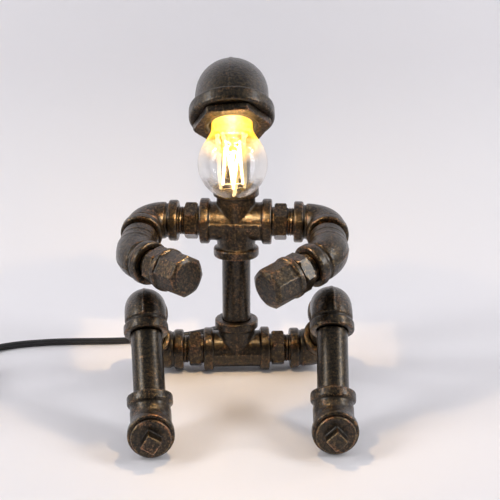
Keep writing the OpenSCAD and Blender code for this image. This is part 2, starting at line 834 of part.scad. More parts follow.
module holder_shell() color(black_plastic) at_bulb() difference() {
    bar(holder_r, holder_bottom, holder_top);
    bar(sleeve_r + holder_clearance, holder_bottom + holder_floor, holder_top + 1);
    bar(holder_r - holder_mouth_wall, cap_top - cap_collar_w, holder_top + 1);
    for (x = [-6, 6]) translate([x, 0, 0]) bar(1.3, holder_bottom - 1, holder_bottom + holder_floor + 1);
}

module holder_sleeve() color(brass) at_bulb() difference() {
    bar(sleeve_r, holder_bottom + holder_floor, cap_top - cap_collar_w - 0.5);
    bar(sleeve_r - sleeve_wall, holder_bottom + holder_floor - 1, cap_top);
}

// Sprung centre contact under the bulb, on its foot
module holder_contact() color(brass) at_bulb() {
    bar(5, holder_bottom + holder_floor, holder_bottom + holder_floor + 1);
    bar(2.4, holder_bottom + holder_floor, contact_top);
}

module bulb_glass() color([1, 0.93, 0.72, 0.4]) at_bulb() rotate_extrude() {
    difference() {
        bulb_outline(0);
        bulb_outline(glass_wall);
        translate([-globe_d, 0]) square([globe_d, 2 * globe_z]);
    }
}

// Half outline of the bulb, drawn inwards by inset; the cone touches the globe
module bulb_outline(inset) {
    globe_r = globe_d / 2;
    touch_r = globe_r * 0.75;
    touch_z = globe_z - sqrt(globe_r * globe_r - touch_r * touch_r);
    translate([0, globe_z]) circle(r = globe_r - inset);
    polygon([
        [0, cap_top - (inset > 0 ? 1 : 0)], [bulb_neck_d / 2 - inset, cap_top - (inset > 0 ? 1 : 0)],
        [bulb_neck_d / 2 - inset, cap_top + 3],
        [touch_r - inset, touch_z], [0, globe_z]
    ]);
}

module bulb_cap() color(steel) at_bulb() {
    difference() {
        union() {
            bar(cap_d / 2 - 0.9, cap_bottom, cap_top);
            bar(bulb_neck_d / 2 - 0.2, cap_top - cap_collar_w, cap_top);
            coarse_rows();
        }
        bar(cap_d / 2 - 1.6, cap_bottom + 1, cap_top + 1);
    }
}

// Rounded rows of the bulb's coarse screw thread
module coarse_rows() {
    coarse_pitch = 3.6;
    rows = floor((cap_len - cap_collar_w - 2) / coarse_pitch);
    for (i = [0 : rows - 1]) translate([0, 0, cap_bottom + 1.6 + (i + 0.5) * coarse_pitch])
        rotate_extrude() translate([cap_d / 2 - 1.1, 0]) circle(r = 1.1, $fn = 24);
}

// Black insulator and centre contact at the bottom of the bulb
module bulb_tip() color(black_plastic) at_bulb() {
    translate([0, 0, cap_bottom - tip_len + 1])
        cylinder(r1 = 5, r2 = cap_d / 2 - 3, h = tip_len - 1);
    bar(4, contact_top, cap_bottom - 1);
}

module bulb_stem() color([0.9, 0.95, 1, 0.5]) at_bulb() {
    translate([0, 0, cap_top]) cylinder(r1 = bulb_neck_d / 2 - glass_wall - 0.5, r2 = 3.4, h = 11);
    bar(2.4, cap_top + 9, globe_z - filament_len / 2 - 2);
    bar(stem_tip_r, globe_z - filament_len / 2 - 3, stem_top);
}

// Filament sticks round the stem, each leaning a little, with a wire to the stem at both ends
module bulb_filaments() color([1, 0.75, 0.3]) at_bulb() {
    end_z = filament_len / 2 - 0.6;
    sideways = end_z * sin(filament_lean);
    for (i = [0 : filament_n - 1]) rotate([0, 0, filament_turn + i * 360 / filament_n])
        translate([0, 0, globe_z]) {
            translate([filament_ring, 0, 0]) rotate([filament_lean, 0, 0])
                bar(filament_d / 2, -filament_len / 2, filament_len / 2);
            for (end = [-1, 1]) translate([0, 0, end * end_z * cos(filament_lean)])
                rotate([0, 90, -end * atan(sideways / filament_ring)])
                    bar(0.4, stem_tip_r + 0.1, filament_ring);
        }
}

// ---------- wiring ----------

// Two insulated wires side by side along a list of points
module lead_pair(points) {
    for (x = [-1, 1]) swept_tube([for (p = points) p + [x * (lead_r + 0.1), 0, 0]], lead_r, 8);
}

module pelvis_leads() color([0.1, 0.1, 0.12]) at_pelvis() {
    inner = relief_seat - 5;
    lead_pair([[0, inner, 0], [0, 6, 0], [0, 3, 1.5], [0, 1, 4.5], [0, 0, 9], [0, 0, tee_reach - 1]]);
}

module torso_leads() color([0.1, 0.1, 0.12]) at_chest()
    lead_pair([[0, 0, tee_reach - 1 + shoulder_gap - spine_rise], [0, 0, -40],
        [0, 0, 0], [0, 0, cross_reach]]);

module neck_leads() color([0.1, 0.1, 0.12]) at_neck() {
    out = [0, -sin(neck_bend), cos(neck_bend)];
    lead_pair([[0, 0, shoulder_gap + cross_reach - neck_rise], [0, 0, -20], [0, 0, -9],
        7 * out, 20 * out, (shallow_reach + head_thread_len) * out]);
}

module head_leads() color([0.1, 0.1, 0.12]) at_head() {
    start = head_small_reach - shoulder_gap;
    back = holder_bottom;
    lead_pair([[0, 0, -start], [0, 0, -20], [0, 2, -9], [0, 1, -3], [0, -3, 0], [0, -back, 0]]);
}

// ---------- cord ----------

module strain_relief() color(black_plastic) at_pelvis() rotate([-90, 0, 0]) {
    translate([0, 0, relief_seat]) cylinder(d = relief_flange_d, h = relief_flange_w);
    bar(relief_hole_d / 2 - relief_clearance, relief_seat - 5, relief_seat + 1);
    translate([0, 0, relief_seat + relief_flange_w])
        cylinder(r1 = 5.2, r2 = cord_r + 0.5, h = relief_len);
}

module cord_tube(route) color(black_plastic) swept_tube(route, cord_r, 10);

module cord_lead() cord_tube(lead_route);

module cord_link() cord_tube(link_route);

module cord_tail() cord_tube(tail_route);

module cord_coil() color(black_plastic) translate([coil_at[0], coil_at[1], 0]) rotate_extrude()
    translate([coil_r - coil_width / 2, 0]) square([coil_width, coil_height]);

// Strap round the coil
module coil_tie() color(black_plastic) translate([coil_at[0], coil_at[1], 0]) rotate([0, 0, tie_angle])
    translate([coil_r - coil_width / 2, -tie_w / 2, 0]) difference() {
        translate([-tie_wall, 0, 0]) cube([coil_width + 2 * tie_wall, tie_w, coil_height + tie_wall]);
        translate([0, -1, tie_wall]) cube([coil_width, tie_w + 2, coil_height - tie_wall]);
    }

module at_switch() {
    translate([switch_at[0], switch_at[1], 0]) children();
}

// Switch case along Y with a well for the rocker and a sleeve at both ends
module switch_case() color(black_plastic) at_switch() difference() {
    union() {
        rounded_block(switch_len, switch_w, switch_h, 4);
        for (a = [-90, 90]) translate([0, 0, cord_z]) rotate([a, 0, 0])
            translate([0, 0, switch_len / 2 - 1])
                cylinder(r1 = 5, r2 = cord_r + 0.4, h = switch_sleeve_len + 1);
    }
    translate([-rocker_w / 2 - rocker_gap, -rocker_len / 2 - rocker_gap, 4])
        cube([rocker_w + 2 * rocker_gap, rocker_len + 2 * rocker_gap, switch_h]);
    rocker_pin(rocker_pin_gap);
}

// Block along Y with upright round corners
module rounded_block(l, w, h, r) {
    translate([-w / 2, -l / 2 + r, 0]) cube([w, l - 2 * r, h]);
    translate([-w / 2 + r, -l / 2, 0]) cube([w - 2 * r, l, h]);
    for (x = [-1, 1], y = [-1, 1]) translate([x * (w / 2 - r), y * (l / 2 - r), 0]) cylinder(r = r, h = h);
}

// Level pin of the rocker, grown on all sides for its holes in the case
module rocker_pin(grow) {
    half = rocker_w / 2 + rocker_gap + rocker_pin_in + grow;
    translate([-half, 0, rocker_pivot_z]) rotate([0, 90, 0])
        cylinder(r = rocker_pin_d / 2 + grow, h = 2 * half);
}

// Rocker: a block with a shallow V on top and the pin it tips about
module switch_rocker() color([0.1, 0.1, 0.1]) at_switch() {
    translate([0, 0, rocker_pivot_z])
        rotate([rocker_tilt, 0, 0]) rotate([90, 0, 90]) translate([0, 0, -rocker_w / 2])
            linear_extrude(rocker_w) polygon([
                [-rocker_len / 2 + 0.6, 2.2], [-rocker_len / 2 + 1.8, -2], [0, -4.4],
                [rocker_len / 2 - 1.8, -2], [rocker_len / 2 - 0.6, 2.2], [0, 3.4]
            ]);
    rocker_pin(0);
}

// Brass blades on the floor of the switch well
module switch_contacts() color(brass) at_switch()
    for (y = [-1, 1]) translate([-2, y * 5 - 1.5, 4]) cube([4, 3, 1]);

module plug_body() color(black_plastic) translate([tail_x, plug_y, 0]) {
    body_from = plug_sleeve_len;
    translate([0, 0, plug_h / 2]) rotate([-90, 0, 0])
        cylinder(r1 = cord_r + 0.5, r2 = 5.6, h = plug_sleeve_len + 2);
    hull() {
        translate([-8, body_from, 1.6]) cube([16, 1, plug_h - 3.2]);
        translate([-plug_w / 2, body_from + plug_len - 12, 0]) cube([plug_w, 12, plug_h]);
    }
}

module plug_pins() color(steel)
    for (x = [-1, 1]) translate([tail_x + x * pin_spacing / 2,
        plug_y + plug_sleeve_len + plug_len, plug_h / 2]) rotate([-90, 0, 0]) {
            cylinder(d = pin_d, h = pin_len - 1);
            translate([0, 0, pin_len - 1]) cylinder(d1 = pin_d, d2 = pin_d - 1.2, h = 1);
        }

// ---------- nodes ----------

pelvis_tee();
hip_nipple(-1);  // hip_nipple_left
hip_nipple(1);  // hip_nipple_right
strain_relief();
pelvis_leads();
hip_elbow(-1);  // hip_elbow_left
hip_elbow(1);  // hip_elbow_right
thigh_pipe(-1);  // thigh_pipe_left
thigh_pipe(1);  // thigh_pipe_right
knee_elbow(-1);  // knee_elbow_left
knee_elbow(1);  // knee_elbow_right
shin_pipe(-1);  // shin_pipe_left
shin_pipe(1);  // shin_pipe_right
foot_elbow(-1);  // foot_elbow_left
foot_elbow(1);  // foot_elbow_right
foot_plug(-1);  // foot_plug_left
foot_plug(1);  // foot_plug_right
spine_pipe();
chest_cross();
shoulder_nipple(-1);  // shoulder_nipple_left
shoulder_nipple(1);  // shoulder_nipple_right
torso_leads();
shoulder_elbow(-1);  // shoulder_elbow_left
shoulder_elbow(1);  // shoulder_elbow_right
forearm_part(-1);  // forearm_left
forearm_part(1);  // forearm_right
wrist_nipple(-1);  // wrist_nipple_left
wrist_nipple(1);  // wrist_nipple_right
hand_cap(-1);  // hand_cap_left
hand_cap(1);  // hand_cap_right
neck_pipe();
neck_elbow();
head_nipple();
neck_leads();
head_elbow();
head_bushing();
holder_shell();
holder_sleeve();
holder_contact();
head_leads();
bulb_glass();
bulb_cap();
bulb_tip();
bulb_stem();
bulb_filaments();
cord_lead();
switch_case();
switch_rocker();
switch_contacts();
cord_link();
cord_coil();
coil_tie();
cord_tail();
plug_body();
plug_pins();
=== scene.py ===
"""Looks of a desk lamp that is built from threaded pipe fittings in the shape of a seated robot."""

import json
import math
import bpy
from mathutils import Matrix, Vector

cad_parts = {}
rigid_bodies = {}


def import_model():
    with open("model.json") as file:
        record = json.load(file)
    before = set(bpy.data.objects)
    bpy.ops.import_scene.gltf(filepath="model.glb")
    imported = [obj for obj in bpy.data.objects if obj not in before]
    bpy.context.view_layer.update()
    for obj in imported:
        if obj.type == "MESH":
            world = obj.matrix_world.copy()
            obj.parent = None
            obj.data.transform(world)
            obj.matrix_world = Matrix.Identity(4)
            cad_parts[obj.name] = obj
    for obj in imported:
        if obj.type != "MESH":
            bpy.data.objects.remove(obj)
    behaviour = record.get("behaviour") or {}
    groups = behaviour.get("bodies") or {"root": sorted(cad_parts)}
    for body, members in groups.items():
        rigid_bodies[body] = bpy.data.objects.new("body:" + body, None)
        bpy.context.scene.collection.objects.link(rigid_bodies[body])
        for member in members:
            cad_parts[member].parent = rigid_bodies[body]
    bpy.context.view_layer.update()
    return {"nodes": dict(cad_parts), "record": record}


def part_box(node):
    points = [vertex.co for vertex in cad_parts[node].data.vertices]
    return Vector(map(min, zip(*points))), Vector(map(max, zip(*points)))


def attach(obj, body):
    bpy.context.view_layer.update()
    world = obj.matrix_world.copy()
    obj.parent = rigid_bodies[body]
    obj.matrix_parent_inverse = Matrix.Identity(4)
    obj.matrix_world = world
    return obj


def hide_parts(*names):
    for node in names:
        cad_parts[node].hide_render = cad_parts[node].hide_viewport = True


bl_info = {
    "name": "Pipe Fitting Robot Lamp",
    "version": (1, 0, 0),
    "blender": (4, 5, 0),
    "location": "View3D > Sidebar > Pipe Lamp",
    "description": "Builds the looks of a seated robot desk lamp made from pipe fittings",
    "category": "Object",
}

from functools import cache

import bmesh
import bpy
import numpy as np
from bpy.props import FloatProperty, FloatVectorProperty, IntProperty, PointerProperty
from mathutils import Matrix, Vector, noise

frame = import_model()
MM = 0.001
BODY_OF = {n: b for b, nodes in frame["record"]["behaviour"]["bodies"].items() for n in nodes}
SIDES = ("left", "right")

# The cord's way over the table, in millimetres
CORD_Z = 7.5
EXIT_Y, EXIT_Z = 112, 15.6
LEAD_ROUTE = [
    (-4, 121, 13), (-12, 127, 9.4), (-24, 129.6, 5.8), (-38, 129, 3.6), (-54, 126.4, 2.9),
    (-72, 123, 2.9), (-90, 120.6, 2.9), (-110, 120.2, 2.9), (-130, 120.4, 2.9),
    (-148, 119.6, 2.9), (-166, 117, 2.9), (-178, 113.8, 2.9), (-188.6, 109, 3),
    (-197, 101.6, 3.6), (-202.4, 92, 4.8), (-204.8, 81.6, 6.6), (-205, 74, CORD_Z),
    (-205, 68, CORD_Z),
]
LINK_ROUTE = [
    (-205, -2, CORD_Z), (-205, -8, 7), (-203.6, -14, 5.4), (-200, -27, 3.8), (-196.4, -38, 2.9),
    (-194.6, -46, 2.9),
]
TAIL_ROUTE = [(-275.7, y, z) for y, z in (
    (-46, 8.12), (-36, 7.8), (-26, 7.2), (-18, 6.8), (-12, 6.8))]
COIL = {"x": -235, "y": -60, "outer": 40.7, "pitch": 5.8, "turns": 4, "first_z": 2.9,
        "top": 26.2, "top_z": 8.12, "jog_from": 0.78, "jog_run": 0.22}


# ---------- settings ----------


def colour(name, text, default):
    return FloatVectorProperty(
        name=name, description=text, default=default, size=3, subtype="COLOR", min=0, max=1)


def number(name, text, default, **limits):
    return FloatProperty(name=name, description=text, default=default, **limits)


def length(name, text, default):
    return number(name, text, default, unit="LENGTH", subtype="DISTANCE", precision=5)


def factor(name, text, default):
    return number(name, text, default, min=0, max=1, subtype="FACTOR")


def watts(name, text, default):
    return number(name, text, default, min=0, unit="POWER")


def degrees(name, text, default):
    return number(name, text, math.radians(default), subtype="ANGLE")


def group_of(name, text, kind):
    return PointerProperty(name=name, description=text, type=kind)


class BronzeSettings(bpy.types.PropertyGroup):
    dark: colour("Patina", "Colour of the dark patina", (0.0115, 0.0085, 0.0058))
    bronze: colour("Bronze", "Colour of the rubbed bronze", (0.31, 0.205, 0.090))
    copper: colour("Copper", "Colour of the copper flecks", (0.31, 0.145, 0.070))
    wear: factor("Wear", "How far raised edges are rubbed bright", 0.20)
    grain: length("Cast grain", "Height of the sand-cast grain", 0.00009)
    grain_size: length("Cast grain size", "Width of the sand-cast grain", 0.0015)
    relief: length("Relief", "Depth of the patina's fine relief", 0.00025)
    wax: factor("Wax", "Share of clear wax over the patina", 0.5)
    wax_roughness: factor("Wax roughness", "Roughness of the clear wax", 0.27)
    voxel: length("Casting detail", "Grid size of the castings", 0.0006)


class FittingSettings(bpy.types.PropertyGroup):
    thread_radius: length("Thread radius", "Crest radius of the half-inch thread", 0.01045)
    thread_pitch: length("Thread pitch", "Distance between two thread crests", 0.0018)
    thread_height: length("Thread height", "Height of the thread crests", 0.0009)
    grip: length("Grip", "Length of thread that sits inside a port", 0.012)
    bore: length("Bore", "Bore radius of the nipples", 0.0072)
    pipe_bore: length("Pipe bore", "Bore radius of the pipes", 0.0079)
    shoulder_gap: length("Shoulder gap", "Gap between a pipe's shoulder and a rim", 0.0003)
    collar: length("Collar", "Length of the plain collar beside a hex", 0.002)
    collar_radius: length("Collar radius", "Radius of the plain collar beside a hex", 0.011)
    hex_width: length("Hex width", "Width across the flats of a nipple's hex", 0.0243)
    hex_length: length("Hex length", "Length of a shoulder or hip hex", 0.009)
    wrist_hex_length: length("Wrist hex length", "Length of a wrist hex", 0.008)
    cross_radius: length("Cross radius", "Radius of the chest cross", 0.0135)
    ridge_radius: length("Ridge radius", "Radius of the casting lines on the chest", 0.0007)
    boss_radius: length("Boss radius", "Radius of the boss on the chest", 0.0023)
    plug_turn_left: degrees("Left plug turn", "Turn of the left foot plug", 20)
    plug_turn_right: degrees("Right plug turn", "Turn of the right foot plug", 45)


class CordSettings(bpy.types.PropertyGroup):
    width: length("Cord width", "Width of the twin cord", 0.0058)
    tilt: degrees("Tilt", "Turn of the twin cord on its edge", 65)
    core: number("Core share", "Thickness that the two cores add", 0.75)
    groove: number("Groove share", "Thickness at the groove", 0.32)


class BulbSettings(bpy.types.PropertyGroup):
    glow: colour("Glow", "Colour of the lit filaments", (1.0, 0.70, 0.24))
    pale_glow: colour("Pale glow", "Colour of the filaments' paler spots", (1.0, 0.80, 0.48))
    filament_strength: number("Filament strength", "Emission of the filament sticks", 4.0, min=0)
    lamp_power: watts("Bulb light", "Light that the bulb throws all around", 0.45)
    neck_share: number("Neck share", "Light of the neck beside the bulb's light", 0.5, min=0)
    chest_power: watts("Chest light", "Light that the bulb throws back on the chest", 0.85)
    chest_cone: degrees("Chest cone", "Width of the light on the chest", 112)
    light_colour: colour("Light colour", "Colour of the light that is thrown", (1.0, 0.68, 0.34))
    light_size: length("Light size", "Radius of the bulb's light", 0.0035)
    neck_light_size: length("Neck light size", "Radius of the neck's light", 0.0025)
    bead_count: IntProperty(
        name="Beads", description="Beads on one filament stick", default=11, min=3)
    stick_radius: length("Stick radius", "Radius of a filament stick", 0.0009)
    wire_radius: length("Wire radius", "Radius of a filament's wires", 0.00014)
    stem_radius: length("Stem radius", "Radius of the stem's tip", 0.0014)
    neck_radius: length("Neck radius", "Radius of the bulb's neck", 0.0136)
    wall: length("Glass wall", "Thickness of the glass", 0.0007)


class StudioSettings(bpy.types.PropertyGroup):
    floor: colour("Floor", "Colour of the floor and backdrop", (0.80, 0.785, 0.82))
    softbox: watts("Softbox power", "Power of each side softbox", 10.6)
    kicker: watts("Kicker power", "Power of each high side light", 3.0)
    top: watts("Top power", "Power of the top softbox", 1.6)
    sky: number("Sky", "Strength of the even light", 0.34, min=0)
    room: number("Room", "Share of the even light from behind the camera", 0.35, min=0, max=1)
    sky_colour: colour("Sky colour", "Colour of the even light", (1.0, 1.0, 1.0))
    wall_distance: length("Wall distance", "From the spine to the wall behind it", 0.33)
    sweep_radius: length("Sweep radius", "Bend between the floor and the wall", 0.2)


class CameraSettings(bpy.types.PropertyGroup):
    distance: length("Distance", "From the camera to its target", 0.760)
    elevation: degrees("Elevation", "Height angle of the camera", 16.864)
    azimuth: degrees("Azimuth", "Sideways angle of the camera", -2.195)
    target_x: length("Target sideways", "Target beside the spine", 0.010317)
    target_z: length("Target height", "Height of the target", 0.097362)
    lens: number("Lens", "Focal length for a 36 mm sensor", 73.23)
    shift_y: number("Shift", "Vertical shift of the picture", -0.00516, precision=5)


class LampSettings(bpy.types.PropertyGroup):
    bronze: group_of("Bronze", "Finish of the fittings", BronzeSettings)
    fitting: group_of("Fittings", "Sizes of the fittings", FittingSettings)
    cord: group_of("Cord", "Sizes of the cord", CordSettings)
    bulb: group_of("Bulb", "The lit bulb", BulbSettings)
    studio: group_of("Studio", "Floor and lights", StudioSettings)
    camera: group_of("Camera", "View of the picture", CameraSettings)


def settings():
    return bpy.context.scene.pipe_lamp


# ---------- meshes ----------


def node_mesh(node, name):
    """Copy of a node's mesh with its doubles merged."""
    mesh = joined(name, [frame["nodes"][node].data], 0.002 * MM)
    mesh.materials.clear()
    return mesh


def joined(name, meshes, merge=None):
    """One new mesh from several, whose vertices within the merge distance become one."""
    bm = bmesh.new()
    for mesh in meshes:
        bm.from_mesh(mesh)
    if merge:
        bmesh.ops.remove_doubles(bm, verts=bm.verts, dist=merge)
    mesh = bpy.data.meshes.new(name)
    bm.to_mesh(mesh)
    bm.free()
    return mesh


def values_of(items, name, width, kind=np.float32):
    """One row of values for each vertex or edge."""
    rows = np.empty(len(items) * width, kind)
    items.foreach_get(name, rows)
    return rows.reshape(-1, width)


def points_of(mesh):
    return values_of(mesh.vertices, "co", 3)


def edge_ends(mesh):
    return values_of(mesh.edges, "vertices", 2, np.int32).T


def put_object(name, mesh):
    obj = bpy.data.objects.new(name, mesh)
    bpy.context.scene.collection.objects.link(obj)
    return obj


def plain(obj, name):
    """The evaluated object as a plain mesh of its own."""
    graph = bpy.context.evaluated_depsgraph_get()
    graph.update()
    mesh = bpy.data.meshes.new_from_object(
        obj.evaluated_get(graph), preserve_all_data_layers=True, depsgraph=graph)
    mesh.name = name
    old = obj.data
    bpy.data.objects.remove(obj, do_unlink=True)
    if isinstance(old, bpy.types.Mesh) and not old.users:
        bpy.data.meshes.remove(old)
    return put_object(name, mesh)


def smooth_faces(mesh, angle=None):
    mesh.polygons.foreach_set("use_smooth", [True] * len(mesh.polygons))
    if angle is not None:
        mesh.set_sharp_from_angle(angle=math.radians(angle))


def set_edge_wear(mesh, values):
    layer = mesh.attributes.get("edge_wear") or mesh.attributes.new("edge_wear", "FLOAT", "POINT")
    layer.data.foreach_set("value", np.asarray(values, np.float32))


def curvature(mesh, rounds=2):
    """Signed mean curvature at each vertex, in 1/mm: raised edges are above zero."""
    co = points_of(mesh).astype(np.float64) / MM
    count = len(co)
    a, b = edge_ends(mesh)
    normals = values_of(mesh.vertices, "normal", 3)
    degree = np.bincount(a, minlength=count) + np.bincount(b, minlength=count)
    degree = np.maximum(degree, 1)

    def neighbours(values):
        out = np.zeros_like(values)
        np.add.at(out, a, values[b])
        np.add.at(out, b, values[a])
        return out / (degree[:, None] if values.ndim == 2 else degree)

    span2 = np.zeros(count)
    d2 = ((co[a] - co[b]) ** 2).sum(1)
    np.add.at(span2, a, d2)
    np.add.at(span2, b, d2)
    bend = -2 * ((neighbours(co) - co) * normals).sum(1) / np.maximum(span2 / degree, 1e-9)
    for _ in range(rounds):
        bend = 0.5 * bend + 0.5 * neighbours(bend)
    return bend


def roughen(mesh, height, size, seed):
    """Moves the vertices along their normals by a fine grain."""
    co = points_of(mesh)
    normals = values_of(mesh.vertices, "normal", 3)
    shift = Vector((seed * 0.37, seed * 0.73, seed * 0.19))
    grain = [noise.fractal(Vector(p) / size + shift, 0.9, 2.1, 3) for p in co.tolist()]
    moved = co + normals * (np.array(grain, np.float32)[:, None] * height)
    mesh.vertices.foreach_set("co", moved.astype(np.float32).ravel())
    mesh.update()


def cast_copy(node, voxel, rounds, seed, extra=(), turn=None):
    """Soft-edged, grainy casting that has the shape of a node, with extra meshes run into it."""
    s = settings().bronze
    sharp_bend = 0.55
    obj = put_object(node + "_raw", joined(node + "_raw", [node_mesh(node, node + "_raw"), *extra]))
    if turn is not None:
        obj.data.transform(turn)
    remesh = obj.modifiers.new("grid", "REMESH")
    remesh.mode = "VOXEL"
    remesh.voxel_size = voxel
    soften = obj.modifiers.new("soften", "SMOOTH")
    soften.factor = 0.5
    soften.iterations = rounds
    obj = plain(obj, node + "_casting")
    mesh = obj.data
    set_edge_wear(mesh, np.clip(curvature(mesh) / sharp_bend, -1, 1))
    roughen(mesh, s.grain, s.grain_size, seed)
    smooth_faces(mesh)
    return obj


def hash_of(word):
    """Small steady number from a name."""
    return sum((i + 1) * ord(c) for i, c in enumerate(word)) % 97


def curve_through(points, step=1.5):
    """Smooth line through points, in millimetres."""
    p = [Vector(q) for q in points]
    p = [2 * p[0] - p[1]] + p + [2 * p[-1] - p[-2]]
    out = []
    for a, b, c, d in zip(p, p[1:], p[2:], p[3:]):
        n = max(2, round((c - b).length / step))
        for i in range(n):
            t = i / n
            out.append(tuple(0.5 * (2 * b + (c - a) * t + (2 * a - 5 * b + 4 * c - d) * t * t
                                    + (3 * b - a - 3 * c + d) * t * t * t)))
    return out + [tuple(p[-2])]


def coil_points(steps=48):
    """The coil, clockwise from above: rings side by side, then a layer between them on top."""
    start = math.atan2(LINK_ROUTE[-1][1] - COIL["y"], LINK_ROUTE[-1][0] - COIL["x"])
    total = COIL["turns"] + 2 + (start - math.pi) % (2 * math.pi) / (2 * math.pi)
    out = []
    for i in range(3, int(total * steps) + 1):
        t = i / steps
        ring, part = int(t), t % 1
        jog = max(0.0, (part - COIL["jog_from"]) / COIL["jog_run"])
        jog = jog * jog * (3 - 2 * jog)
        if ring < COIL["turns"] - 1:
            r, z = COIL["outer"] - COIL["pitch"] * (ring + jog), COIL["first_z"]
        elif ring == COIL["turns"] - 1:
            low, rise = COIL["outer"] - COIL["pitch"] * ring, COIL["top_z"] - COIL["first_z"]
            r, z = low + (COIL["top"] - low) * jog, COIL["first_z"] + rise * jog
        else:
            r, z = COIL["top"] + COIL["pitch"] * (ring - COIL["turns"] + jog), COIL["top_z"]
        if t > total - 0.5:
            r += (COIL["outer"] - r) * (1 - (total - t) / 0.5)
        a = start - 2 * math.pi * t
        out.append((COIL["x"] + r * math.cos(a), COIL["y"] + r * math.sin(a), z))
    return out


def finish_piece(obj, nodes, finish):
    """Gives a piece its material, and lets it stand for its nodes."""
    obj.data.materials.clear()
    obj.data.materials.append(material(finish))
    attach(obj, BODY_OF[nodes[0]])
    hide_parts(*nodes)


def finish_mesh(node, mesh, angle, finish):
    """Makes a mesh that is in place into the finished piece of a node."""
    smooth_faces(mesh, angle)
    finish_piece(put_object(node + "_finished", mesh), [node], finish)


def middle_of(node):
    return sum(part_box(node), Vector()) / 2


class TurnedPlace:
    """Axis of a turned node, measured on its mesh: z runs from 0 at one end to span at the other.

    The start is the end that is nearer to the widest part."""

    def __init__(self, node):
        co = points_of(node_mesh(node, "measure")).astype(np.float64)
        middle = co.mean(0)
        values, vectors = np.linalg.eigh(np.cov((co - middle).T))
        odd = np.argmax([abs(values[i] - (values.sum() - values[i]) / 2) for i in range(3)])
        axis = vectors[:, odd]
        z = (co - middle) @ axis
        radial = np.linalg.norm((co - middle) - z[:, None] * axis, axis=1)
        wide = z[radial > radial.max() - 0.05 * MM]
        if abs(wide.mean() - z.min()) > abs(z.max() - wide.mean()):
            axis, z = -axis, -z
        self.span = float(z.max() - z.min())
        self.axis = Vector(axis)
        self.start = Vector(middle) + self.axis * float(z.min())
        self.radius = float(radial.max())
        corner = Vector(co[np.argmax(radial)]) - self.start
        side = corner - self.axis * corner.dot(self.axis)
        side.normalize()
        up = self.axis.cross(side)
        self.matrix = Matrix((side, up, self.axis)).transposed().to_4x4()
        self.matrix.translation = self.start


def spun(rings, sides, flats=0, width=0.0):
    """Closed turned mesh. A ring is (z, radius, wear), with True after it for one with flats."""
    verts, wear = [], []
    for ring in rings:
        z, r, w = ring[:3]
        flat = len(ring) > 3 and ring[3]
        for k in range(sides):
            a = 2 * math.pi * k / sides
            rk, wk = r, w
            if flat:
                sector = 2 * math.pi / flats
                off = (a + sector / 2) % sector - sector / 2
                face = width / 2 / math.cos(sector / 2 - abs(off))
                rk = min(r, face)
                wk = max(w, 1 - abs(off) / (sector * 0.16)) if r > width / 2 + 0.3 * MM else w
            verts.append((rk * math.cos(a), rk * math.sin(a), z))
            wear.append(max(wk, -1))
    n, m = len(rings), sides
    faces = [
        (i * m + k, i * m + (k + 1) % m, ((i + 1) % n) * m + (k + 1) % m, ((i + 1) % n) * m + k)
        for i in range(n) for k in range(m)
    ]
    mesh = bpy.data.meshes.new("spun")
    mesh.from_pydata(verts, [], faces)
    set_edge_wear(mesh, wear)
    bm = bmesh.new()
    bm.from_mesh(mesh)
    bmesh.ops.recalc_face_normals(bm, faces=bm.faces)
    bm.to_mesh(mesh)
    bm.free()
    return mesh


# ---------- node trees ----------


def floats(*labels):
    return dict.fromkeys(labels, "Float")


class Nodes:
    """Small helper that adds, fills and links the nodes of one tree."""

    def __init__(self, tree):
        self.tree = tree

    def fill(self, node, inputs):
        for key, value in inputs.items():
            if isinstance(value, bpy.types.NodeSocket):
                self.tree.links.new(value, node.inputs[key])
            else:
                node.inputs[key].default_value = value

    def add(self, kind, inputs=None, **values):
        node = self.tree.nodes.new(kind)
        for key, value in values.items():
            setattr(node, key, value)
        self.fill(node, inputs or {})
        return node

    def math(self, operation, a, b=0.0, c=None):
        inputs = {0: a, 1: b} if c is None else {0: a, 1: b, 2: c}
        return self.add("ShaderNodeMath", inputs, operation=operation).outputs[0]

    def ramp(self, value, low, high):
        """0 below low, 1 above high, smooth between."""
        return self.add("ShaderNodeMapRange", {"Value": value, "From Min": low, "From Max": high},
                        interpolation_type="SMOOTHSTEP", clamp=True).outputs[0]

    def mix(self, share, a, b):
        return self.add("ShaderNodeMix", {0: share, 6: a, 7: b}, data_type="RGBA").outputs[2]

    def noise(self, place, scale, detail, **more):
        return self.add("ShaderNodeTexNoise", {
            "Vector": place, "Scale": scale, "Detail": detail, **more}).outputs[0]

    def attribute(self, name):
        return self.add("ShaderNodeAttribute", attribute_name=name).outputs["Fac"]

    def place(self):
        return self.add("ShaderNodeTexCoord").outputs["Object"]


class Group(Nodes):
    """Node group with named sockets."""

    def __init__(self, name, kind, outputs, inputs):
        super().__init__(bpy.data.node_groups.new(name, kind))
        self.ids = {}
        for in_out, sockets in (("OUTPUT", outputs), ("INPUT", inputs)):
            for label, socket in sockets.items():
                item = self.tree.interface.new_socket(
                    label, in_out=in_out, socket_type="NodeSocket" + socket)
                self.ids[label] = item.identifier
        self.source = self.add("NodeGroupInput")
        self.target = self.add("NodeGroupOutput")


